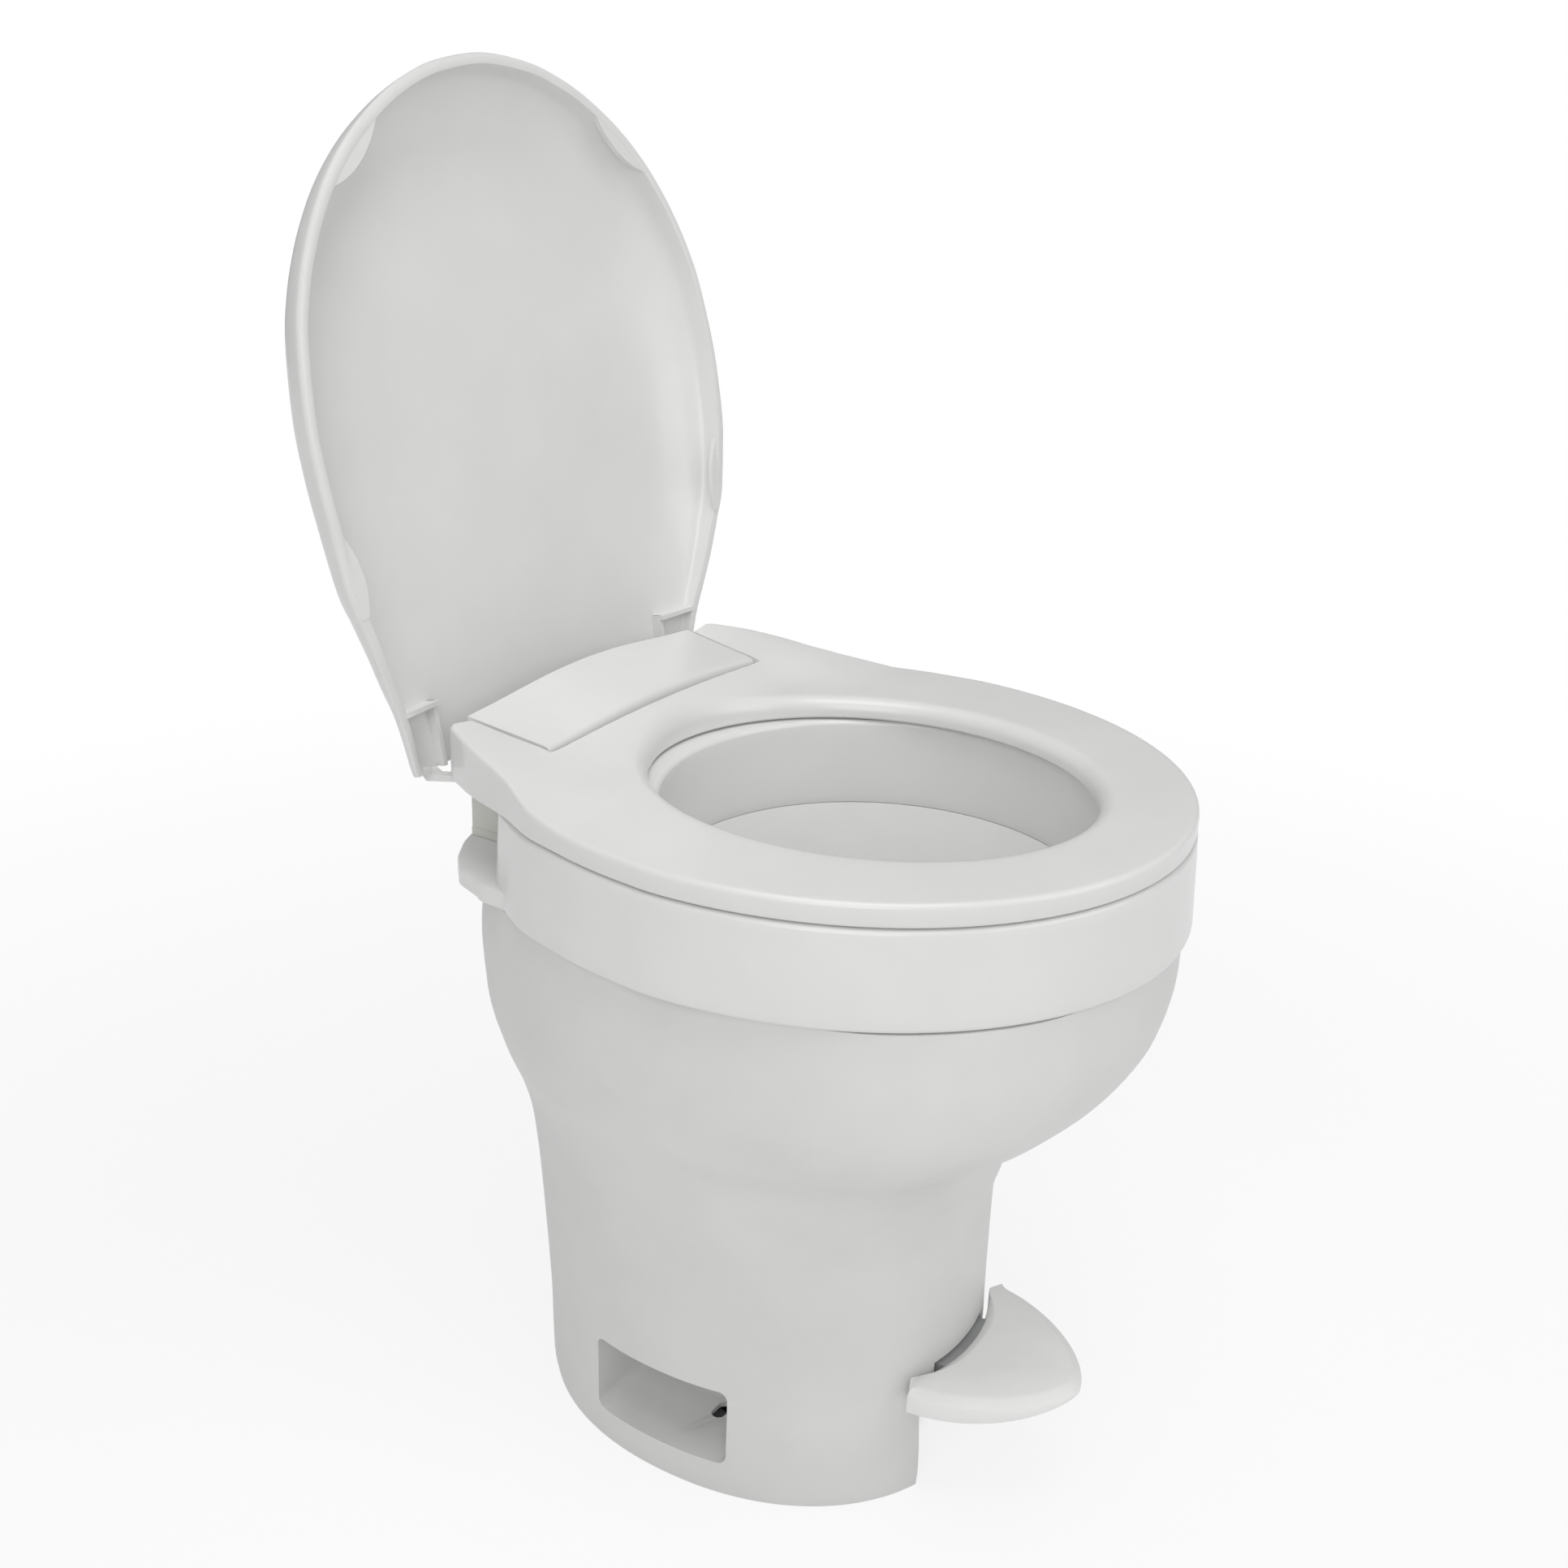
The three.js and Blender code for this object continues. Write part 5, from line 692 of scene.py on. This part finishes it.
# %% Rear deck
DECK_TOP = 391.0
DECK_WALL = 4.0
DECK_HALF_WIDTHS = [163, 160, 157, 150, 134, 116, 100, 81.5, 40, 0]
DECK_REACHES = [76, 106, 111, 130, 145, 156, 162, 166, 169.4, 170]
deck_half = np.column_stack([DECK_HALF_WIDTHS, DECK_REACHES])
deck_plan = resampled(np.vstack([deck_half, deck_half[-2::-1] * np.array([-1, 1])]), 160)
DECK_ROUND, DECK_FOOT = 2.5, 1.5
DECK_LIFT = 0.2
DECK_LOW = BAND_BOTTOM + DECK_LIFT
BOLT_HOLE_RADIUS = 4.3
deck_rings = [at_height(inset(deck_plan, DECK_FOOT), DECK_LOW), at_height(deck_plan, DECK_LOW + DECK_FOOT)]
deck_rings += [at_height(inset(deck_plan, DECK_ROUND * (1 - math.cos(a))),
                         DECK_TOP - DECK_ROUND * (1 - math.sin(a)))
               for a in quarter(4)]
deck_middle = np.array([0, deck_plan[:, 1].mean()])
top_run = inset(deck_plan, DECK_ROUND) - deck_middle
under_run = inset(deck_plan, DECK_WALL) - deck_middle
deck_rings += [at_height(deck_middle + top_run * share, DECK_TOP) for share in (0.6, 0.2, 0.0)]
deck_rings += [at_height(deck_middle + under_run * share, DECK_TOP - DECK_WALL) for share in (0.0, 0.5, 1.0)]
deck_rings += [at_height(inset(deck_plan, DECK_WALL), DECK_LOW)]
deck = skin("deck", deck_rings + deck_rings[:1])
use(band, "UNION", deck, crossing=True)
for side in (-1, 1):
    bolt_low, bolt_high = span("seat_bolt_right" if side > 0 else "seat_bolt_left")
    x, y = (bolt_low[:2] + bolt_high[:2]) / 2
    use(band, "DIFFERENCE", bar(BOLT_HOLE_RADIUS, (x, y, BAND_BOTTOM), (x, y, DECK_TOP + OVERRUN)))
soften(band, 1.0, segments=2, angle=45)
finish(band, "rim_band_moulding", "base", "rim_band", gloss_pp)

# %% [markdown]
# The bowl is a funnel that narrows to the outlet. Its ovals move back toward the throat as they narrow.

# %% Bowl
bowl_high = span("bowl")[1]
BOWL_Z = [112, 132, 160, 195, 235, 280, 325, 360, bowl_high[2]]
BOWL_HALF_WIDTHS = [32, 41, 59, 82, 103, 117.5, 125, 128, LEDGE_HALF]
BOWL_FRONTS = [48, 56, 78, 110, 143, 167, 182, 189, LEDGE_FRONT]
BOWL_REARS = [16, 25, 37, 48, 55.5, 60.5, 64, 65.5, LEDGE_REAR]
BOWL_WALL = 4.0
THROAT_LOW, THROAT_TOP = 99.0, 103.0
THROAT_REACH = 18.0
FLANGE_LOW = 375.5
FLANGE_REACH = 40.0
NOZZLE_HOLE_RADIUS = 7.0
SCREW_HOLE_RADIUS = 2.4
ELLIPSE = 2
BOWL_SIDES = 128


def bowl_ring(z, grow=0.0):
    return at_height(oval(eased(BOWL_Z, BOWL_HALF_WIDTHS, z) + grow, eased(BOWL_Z, BOWL_FRONTS, z) + grow,
                          eased(BOWL_Z, BOWL_REARS, z) + grow, ELLIPSE, BOWL_SIDES), z)


bowl_rings = [bowl_ring(z) for z in np.linspace(THROAT_LOW, bowl_high[2], 72)]
bowl_rings += [bowl_ring(bowl_high[2], FLANGE_REACH), bowl_ring(FLANGE_LOW, FLANGE_REACH)]
bowl_rings += [bowl_ring(z, BOWL_WALL) for z in np.linspace(FLANGE_LOW, THROAT_TOP, 24)]
bowl_rings += [bowl_ring(THROAT_TOP, THROAT_REACH), bowl_ring(THROAT_LOW, THROAT_REACH)]
bowl = skin("bowl_moulding", bowl_rings + bowl_rings[:1])
nozzle_low, nozzle_high = span("flush_nozzle")
nozzle_x, _, nozzle_z = (nozzle_low + nozzle_high) / 2
use(bowl, "DIFFERENCE", bar(NOZZLE_HOLE_RADIUS, (nozzle_x, LEDGE_REAR / 2, nozzle_z),
                            (nozzle_x, LEDGE_REAR + OVERRUN, nozzle_z)))
for screw in ("plate_screw_1", "plate_screw_2", "plate_screw_3"):
    screw_low, screw_high = span(screw)
    x, y = (screw_low[:2] + screw_high[:2]) / 2
    use(bowl, "DIFFERENCE", bar(SCREW_HOLE_RADIUS, (x, y, THROAT_LOW - OVERRUN),
                                (x, y, THROAT_TOP + OVERRUN / 2), SCREW_SIDES))
finish(bowl, "bowl_moulding", "base", "bowl", bowl_gloss)

# %% [markdown]
# The lid is a shallow dish. It is laid out closed, with the hinge line as its origin, and then swung open.
# One skin runs from the crown outside, round the rim, to the crown inside. Near the hinge the rim climbs,
# because it follows the seat's rise when the lid is down.

# %% Lid outline
LID_POINTS = [(0, -392.6), (40, -388), (66, -380), (88, -370), (112, -355), (130.5, -340), (145, -325),
              (156.5, -310), (166, -295), (176, -275), (184.5, -250), (190.7, -210), (191.3, -180),
              (189, -150), (182.5, -110), (175, -90), (167, -70), (159, -50), (150, -30), (144, -10),
              (139, 10), (120, 50), (80, 90), (0, 106)]
LID_MIDDLE = np.array([0.0, -150.0])
RIM_Z = 4.1
INNER_CROWN, OUTER_CROWN = 37.5, 40.8
RISE_PLACES = [-150, -110, -70, -50, -30, -10, 10]
RISE_HEIGHTS = [0, 3.5, 8.5, 12.5, 16.5, 20, 22]
OUTER_INSETS = [0.8, 0, 3.5, 7, 14, 26, 44, 75, 120]
OUTER_HEIGHTS = [RIM_Z, 6.5, 18, 22.5, 27.5, 32, 36, 38.8, 40.2]
INNER_INSETS = [6.4, 9, 11.5, 18, 29, 46, 76, 120]
INNER_HEIGHTS = [RIM_Z, 14.5, 18, 23.2, 28.2, 32.6, 35.5, 36.9]
LID_SIDES = 240
CORE_INSET = 1.0
LIP_INSETS = (2.4, 4.8)
LIP_DROP = 0.35
TO_MIDDLE = 200


def through(points, steps=12):
    """a smooth closed curve through given points"""
    points = np.asarray(points, float)
    before, after, beyond = (np.roll(points, shift, axis=0) for shift in (1, -1, -2))
    t = np.linspace(0, 1, steps, endpoint=False)[:, None, None]
    curve = 0.5 * (2 * points + (after - before) * t
                   + (2 * before - 5 * points + 4 * after - beyond) * t ** 2
                   + (3 * points - before - 3 * after + beyond) * t ** 3)
    return curve.transpose(1, 0, 2).reshape(-1, 2)


lid_outline = resampled(through(LID_POINTS + [(-x, y) for x, y in LID_POINTS[-2:0:-1]]), LID_SIDES)


def lid_ring(distance, z):
    run = lid_outline - LID_MIDDLE
    length = np.linalg.norm(run, axis=1)
    plan = LID_MIDDLE + run * np.maximum(1 - distance / length, 0)[:, None]
    climb = eased(RISE_PLACES, RISE_HEIGHTS, lid_outline[:, 1])
    return at_height(plan, z + climb * (1 - blended(z, RIM_Z, INNER_CROWN)))


def lid_side(insets, heights, crown):
    """rings from the rim to the pole, four for each step of the table"""
    steps = np.linspace(0, len(insets) - 1, (len(insets) - 1) * 4 + 1)
    rings = [lid_ring(d, z) for d, z in zip(eased(range(len(insets)), insets, steps),
                                            eased(range(len(insets)), heights, steps))]
    run = np.linalg.norm(lid_outline - LID_MIDDLE, axis=1)
    for share in np.linspace(0, 1, 8)[1:]:
        reach = insets[-1] + (run - insets[-1]) * share
        rings.append(lid_ring(reach, heights[-1] + (crown - heights[-1]) * math.sin(share * math.pi / 2)))
    return rings


outside = lid_side(OUTER_INSETS, OUTER_HEIGHTS, OUTER_CROWN)
inside = lid_side(INNER_INSETS, INNER_HEIGHTS, INNER_CROWN)
lip = [lid_ring(distance, RIM_Z - LIP_DROP) for distance in LIP_INSETS]
lid = skin("lid_moulding", outside[::-1] + lip + inside)
core_side = lid_side([d + CORE_INSET for d in OUTER_INSETS], [z - CORE_INSET for z in OUTER_HEIGHTS],
                     OUTER_CROWN - CORE_INSET)
lid_core = skin("lid_core", core_side[::-1] + [lid_ring(TO_MIDDLE, RIM_Z - CORE_INSET)])
print("lid", len(lid.data.polygons), "faces")

# %% [markdown]
# Inside the rim sit four crescent pads that rest on the seat, and at each rear corner a foot wall, a small
# shelf and the ear that turns on the hinge pin. Each is trimmed by the lid's full shape and joined to it.

# %% Lid details
REAR_END = 6.9
FOOT_INNER, FOOT_WALL = 128.0, 3.0
SHELF_Y, SHELF_LOW, SHELF_INNER, SHELF_OUTER = -33.0, 20.6, 113.0, 152.0
SHELF_SIDE_LOW = 27.0
PADS = [((139, -322), (95, -363)), ((187.5, -152), (170, -95))]
PAD_DEPTH = 14.0
PAD_THICKNESS = 3.4
EAR_INNER, EAR_OUTER, EAR_RADIUS = 118.4, 126.2, 7.0
EAR_BARREL_INNER = 107.0
EAR_PROFILE = [(0, -7), (9.5, -7), (13.4, 0), (13.4, 34), (6.9, 38.6), (4.6, 34), (9.5, 27), (9.5, 5),
               (0, 5)]
EAR_SIDES = 48
PAD_GAP = 0.2
LID_FRONT = -450
DEEP = 60.0


def across(side, near, far, y0, y1, z0, z1=DEEP):
    low, high = sorted((side * near, side * far))
    return block((low, y0, z0), (high, y1, z1))


def crescent(side, pad):
    (x1, y1), (x2, y2) = pad
    along = Vector((x2 - x1, y2 - y1))
    middle = Vector(((x1 + x2) / 2, (y1 + y2) / 2))
    inward = (Vector(LID_MIDDLE) - middle).normalized()
    climb = float(eased(RISE_PLACES, RISE_HEIGHTS, middle.y))
    shares = np.linspace(-0.5, 0.5, 17)
    inner = [middle + along * s + inward * PAD_DEPTH * (0.5 - 2 * s * s) for s in shares]
    outer = [middle + along * s - inward * PAD_DEPTH for s in shares[::-1]]
    outline = [(side * p.x, p.y) for p in inner + outer]
    return slab(outline, RIM_Z + climb + PAD_GAP, RIM_Z + climb + PAD_THICKNESS, lambda u, v, w: (u, v, w))


wide = SEAT_HALF + OVERRUN
use(lid, "INTERSECT", block((-wide, LID_FRONT, -OVERRUN * 2), (wide, REAR_END, DEEP)))
foot_z = RIM_Z + RISE_HEIGHTS[-1]
for side in (-1, 1):
    details = [across(side, FOOT_INNER, wide, REAR_END - FOOT_WALL, REAR_END, foot_z),
               across(side, SHELF_INNER, SHELF_OUTER, SHELF_Y, SHELF_Y + FOOT_WALL, SHELF_LOW),
               across(side, SHELF_INNER, SHELF_INNER + FOOT_WALL, SHELF_Y, REAR_END, SHELF_SIDE_LOW)]
    for detail in details + [crescent(side, pad) for pad in PADS]:
        use(detail, "INTERSECT", lid_core, keep_other=True)
        use(lid, "UNION", detail)
    low, high = sorted((side * EAR_INNER, side * EAR_OUTER))
    barrel_low, barrel_high = sorted((side * EAR_BARREL_INNER, side * EAR_OUTER))
    ear = slab(EAR_PROFILE, low, high, lambda u, v, w: (w, u, v))
    use(ear, "UNION", bar(EAR_RADIUS, (barrel_low, 0, 0), (barrel_high, 0, 0), EAR_SIDES))
    use(lid, "UNION", ear)
    use(lid, "DIFFERENCE", bar(BORE_RADIUS, (barrel_low - OVERRUN, 0, 0), (barrel_high + OVERRUN, 0, 0)))
bpy.data.objects.remove(lid_core)
soften(lid, 0.8, segments=2, angle=50)

# %% [markdown]
# The lid stands open and leans a little back. Turning the finished mesh about the hinge line puts it where
# the photograph has it, and the object itself stays unturned, so that the joint can still move it.

# %% Lid swung open
LID_OPEN = math.radians(-101.64)
to_hinge = Matrix.Translation(Vector((0, HINGE_Y, HINGE_Z)) * MM)
lid.data.transform(to_hinge @ Matrix.Rotation(LID_OPEN, 4, "X"))
finish(lid, "lid_moulding", "lid_body", "lid", gloss_pp)

# %% [markdown]
# The hinge cover is a thin crowned plate. A grid laid on its curve gets a thickness, and the front rows turn
# down into a rolled edge.

# %% Hinge cover
COVER_SHARES = [-1, -0.75, -0.5, -0.25, 0, 0.25, 0.5, 0.75, 1]
COVER_FRONT_Z = [460.6, 463, 465.2, 466.6, 467, 466.6, 465.2, 463, 460.6]
COVER_REAR_Z = [468.9, 471.2, 474, 476.2, 477, 476.2, 474, 471.2, 468.9]
COVER_FRONT_HALF, COVER_REAR_HALF = 108.0, 112.4
COVER_THICKNESS = 2.6
COVER_ROLL = 2.4
COVER_LIP = 2.5
COVER_PIVOT = (151.0, 460.0)
LUG_INNER, LUG_OUTER, LUG_RADIUS = 93.0, 98.6, 4.1
COVER_PIN_RADIUS, COVER_PIN_END = 2.4, 105.6
LUG_TOP_DROP = 1.3
LUG_PIN_SIDES = 24


def cover_row(share, roll, y_shift):
    """points across the cover at a share of the way back, turned down by a roll"""
    u = np.linspace(-1, 1, 61)
    half = COVER_FRONT_HALF + (COVER_REAR_HALF - COVER_FRONT_HALF) * share
    z = (1 - share) * eased(COVER_SHARES, COVER_FRONT_Z, u) + share * eased(COVER_SHARES, COVER_REAR_Z, u)
    y = COVER_FRONT_Y + (COVER_REAR_Y - COVER_FRONT_Y) * share + y_shift
    return np.column_stack([u * half, np.full(len(u), y), z - roll])


def cover_rows(drop):
    roll = COVER_ROLL + COVER_LIP
    rows = [cover_row(0, roll * (1 - math.sin(a)) + drop, COVER_ROLL * (1 - math.cos(a))) for a in quarter(5)]
    return rows + [cover_row(share, drop, 0) for share in np.linspace(0.08, 1, 16)]


top_rows = cover_rows(0.0)
under_rows = cover_rows(COVER_THICKNESS)
loops = [np.vstack([top, under[::-1], top[:1]]) for top, under in zip(top_rows, under_rows)]
cover = skin("hinge_cover_moulding", loops, fill=True)
for side in (-1, 1):
    low, high = sorted((side * LUG_INNER, side * LUG_OUTER))
    pin_low, pin_high = sorted((side * LUG_INNER, side * COVER_PIN_END))
    y, z = COVER_PIVOT
    use(cover, "UNION", bar(LUG_RADIUS, (low, y, z), (high, y, z)))
    use(cover, "UNION", block((low, y - LUG_RADIUS, z),
                              (high, COVER_REAR_Y - FIT, COVER_REAR_Z[0] - LUG_TOP_DROP)))
    use(cover, "UNION", bar(COVER_PIN_RADIUS, (pin_low, y, z), (pin_high, y, z), LUG_PIN_SIDES))
soften(cover, 0.7, segments=3, angle=50)
finish(cover, "hinge_cover_moulding", "cover_body", "hinge_cover", gloss_pp)

# %% [markdown]
# The pedal is a half oval that hugs the column. A sloping band runs round its top, and its underside is
# hollow where the steel-pinned arm sits.

# %% Pedal
pedal_low, pedal_high = span("pedal_cover")
PEDAL_HALF = pedal_high[0]
PEDAL_TIP = pedal_low[1]
PEDAL_BACK = -140.0
PEDAL_ROUNDNESS = 1.62
PEDAL_TOP, PEDAL_BOTTOM = pedal_high[2], pedal_low[2]
TIP_BOTTOM = 80.5
BEVEL, BEVEL_DROP = 6.5, 4.2
HUG_HALF_WIDTH, HUG_HALF_LENGTH, HUG_Y, HUG_END = 131.8, 146.7, -2.2, 54.2
HOLLOW_HALF, HOLLOW_FRONT, HOLLOW_TOP = 29.0, -201.0, 85.2
angle = np.linspace(math.pi, 2 * math.pi, 90)
pedal_reach = PEDAL_BACK - PEDAL_TIP
pedal_front = np.column_stack([
    PEDAL_HALF * signed_power(np.cos(angle), 2 / PEDAL_ROUNDNESS),
    PEDAL_BACK + pedal_reach * signed_power(np.sin(angle), 2 / PEDAL_ROUNDNESS)])
hug_x = np.linspace(HUG_END, -HUG_END, 50)
hug = np.column_stack([hug_x, HUG_Y - HUG_HALF_LENGTH * np.sqrt(1 - (hug_x / HUG_HALF_WIDTH) ** 2)])
pedal_plan = resampled(np.vstack([pedal_front, hug]), 200)
facing_out = blended(-pedal_plan[:, 1], -PEDAL_BACK - 4, -PEDAL_BACK + 8)[:, None]


def pedal_ring(distance, z):
    """the bevel runs round the front and fades out where the pedal meets the column"""
    moved = inset(pedal_plan, distance)
    return at_height(pedal_plan * (1 - facing_out) + moved * facing_out, z)


way_out = np.clip((PEDAL_BACK - pedal_plan[:, 1]) / pedal_reach, 0, 1)
underside = PEDAL_BOTTOM + (TIP_BOTTOM - PEDAL_BOTTOM) * way_out ** 3
side_top = PEDAL_TOP - BEVEL_DROP
pedal_rings = [pedal_ring(d, underside + z) for d, z in ((1.0, 0), (0.3, 0.3), (0, 1.0))]
pedal_rings += [pedal_ring(d, side_top + z) for d, z in ((0, -1.0), (0.35, 0.2), (1.1, 0.9))]
pedal_rings += [pedal_ring(BEVEL + d, PEDAL_TOP + z) for d, z in ((-1.2, -0.7), (0, -0.2), (1.2, 0))]
pedal = skin("pedal_moulding", pedal_rings, fill=True)
use(pedal, "DIFFERENCE", block((-HOLLOW_HALF, HOLLOW_FRONT, PEDAL_BOTTOM - OVERRUN),
                               (HOLLOW_HALF, PEDAL_BACK + OVERRUN, HOLLOW_TOP)))
screw_low, screw_high = span("pedal_screw")
screw_y = (screw_low[1] + screw_high[1]) / 2
use(pedal, "DIFFERENCE", bar(SCREW_HOLE_RADIUS, (0, screw_y, PEDAL_BOTTOM),
                             (0, screw_y, screw_high[2] + FIT), LUG_PIN_SIDES))
# the pedal gets the satin ABS copy painted whiter, as painted light on its top
finish(pedal, "pedal_moulding", "pedal_body", "pedal_cover", painted_light_pedal_abs, smooth=50)

# %% [markdown]
# The photograph has soft light from all round, with broad lamps in front, on the left and above. The floor
# is seen as near white and keeps the toilet's own soft shadow. It stays dark under the pedestal, which is
# what the bolt slots show.

# %% Floor, backdrop and light
FLOOR_SIZE = 12.0
clear_selection()
bpy.ops.mesh.primitive_plane_add(size=FLOOR_SIZE)
floor = bpy.context.object
floor.name = "studio_floor"
paper = bpy.data.materials.new("white_studio_paper")
paper.use_nodes = True
paper_tree = paper.node_tree
paper_shader = paper_tree.nodes["Principled BSDF"]
paper_shader.inputs["Roughness"].default_value = 0.9
paper_shader.inputs["Specular IOR Level"].default_value = 0.0
place = add_node(paper_tree, "ShaderNodeTexCoord").outputs["Object"]
fibre = add_node(paper_tree, "ShaderNodeTexNoise", None, {"Scale": 40.0, "Detail": 3.0}, {"Vector": place})
tone = add_node(paper_tree, "ShaderNodeValToRGB", None, None, {"Fac": fibre.outputs["Fac"]})
tone.color_ramp.elements[0].color = to_linear("f4f4f4")
tone.color_ramp.elements[1].color = to_linear("f8f8f8")
paper_tree.links.new(tone.outputs["Color"], paper_shader.inputs["Base Color"])
light_path = add_node(paper_tree, "ShaderNodeLightPath")
seen = add_node(paper_tree, "ShaderNodeMath", {"operation": "MAXIMUM"}, None,
                {0: light_path.outputs["Is Camera Ray"], 1: light_path.outputs["Is Glossy Ray"]})
FLOOR_GLOW = 0.84
UNDER_START, UNDER_END = 0.09, 0.12
SWEEP_START, SWEEP_END = 0.5, 1.6
far = add_node(paper_tree, "ShaderNodeVectorMath", {"operation": "LENGTH"}, None, {0: place})
sweep = add_node(paper_tree, "ShaderNodeMapRange", {"interpolation_type": "SMOOTHSTEP"},
                 {"From Min": SWEEP_START, "From Max": SWEEP_END, "To Min": FLOOR_GLOW, "To Max": 1.0},
                 {"Value": far.outputs["Value"]})
under = add_node(paper_tree, "ShaderNodeMapRange", {"interpolation_type": "SMOOTHSTEP"},
                 {"From Min": UNDER_START, "From Max": UNDER_END}, {"Value": far.outputs["Value"]})
open_floor = add_node(paper_tree, "ShaderNodeMath", {"operation": "MULTIPLY"}, None,
                      {0: under.outputs["Result"], 1: sweep.outputs["Result"]})
amount = add_node(paper_tree, "ShaderNodeMath", {"operation": "MULTIPLY"}, None,
                  {0: seen.outputs[0], 1: open_floor.outputs[0]})
glow = add_node(paper_tree, "ShaderNodeEmission", None, {"Color": (1, 1, 1, 1), "Strength": 1.0})
mixed = add_node(paper_tree, "ShaderNodeMixShader", None, None,
                 {0: amount.outputs[0], 1: paper_shader.outputs[0], 2: glow.outputs[0]})
paper_tree.links.new(mixed.outputs[0], paper_tree.nodes["Material Output"].inputs["Surface"])
floor.data.materials.append(paper)

world = bpy.data.worlds.new("studio")
bpy.context.scene.world = world
world.use_nodes = True
sky_tree = world.node_tree
sky = sky_tree.nodes["Background"]
sky.inputs["Color"].default_value = (1, 1, 1, 1)
AROUND = 0.355
rays = add_node(sky_tree, "ShaderNodeLightPath")
seen_sky = add_node(sky_tree, "ShaderNodeMath", {"operation": "MAXIMUM"}, None,
                    {0: rays.outputs["Is Camera Ray"], 1: rays.outputs["Is Transmission Ray"]})
strength = add_node(sky_tree, "ShaderNodeMapRange", None, {"To Min": AROUND, "To Max": 1.0},
                    {"Value": seen_sky.outputs[0]})
sky_tree.links.new(strength.outputs["Result"], sky.inputs["Strength"])


LAMP_TARGET = Vector((0, 0, 0.4))


def lamp(name, place, size, power):
    """a square soft lamp that looks at the seat"""
    data = bpy.data.lights.new(name, "AREA")
    data.size = size
    data.energy = power
    item = bpy.data.objects.new(name, data)
    bpy.context.scene.collection.objects.link(item)
    item.location = place
    item.rotation_euler = (LAMP_TARGET - Vector(place)).to_track_quat("-Z", "Y").to_euler()
    return item


lamp("front_lamp", (0.5, -2.2, 1.7), 1.6, 10.3)
lamp("top_lamp", (-0.4, -0.3, 2.6), 1.4, 18.2)
lamp("left_lamp", (-1.9, -0.9, 1.5), 1.4, 15.4)

# %% [markdown]
# The picture keeps plain colours, without a film look.

bpy.context.scene.view_settings.view_transform = "Standard"
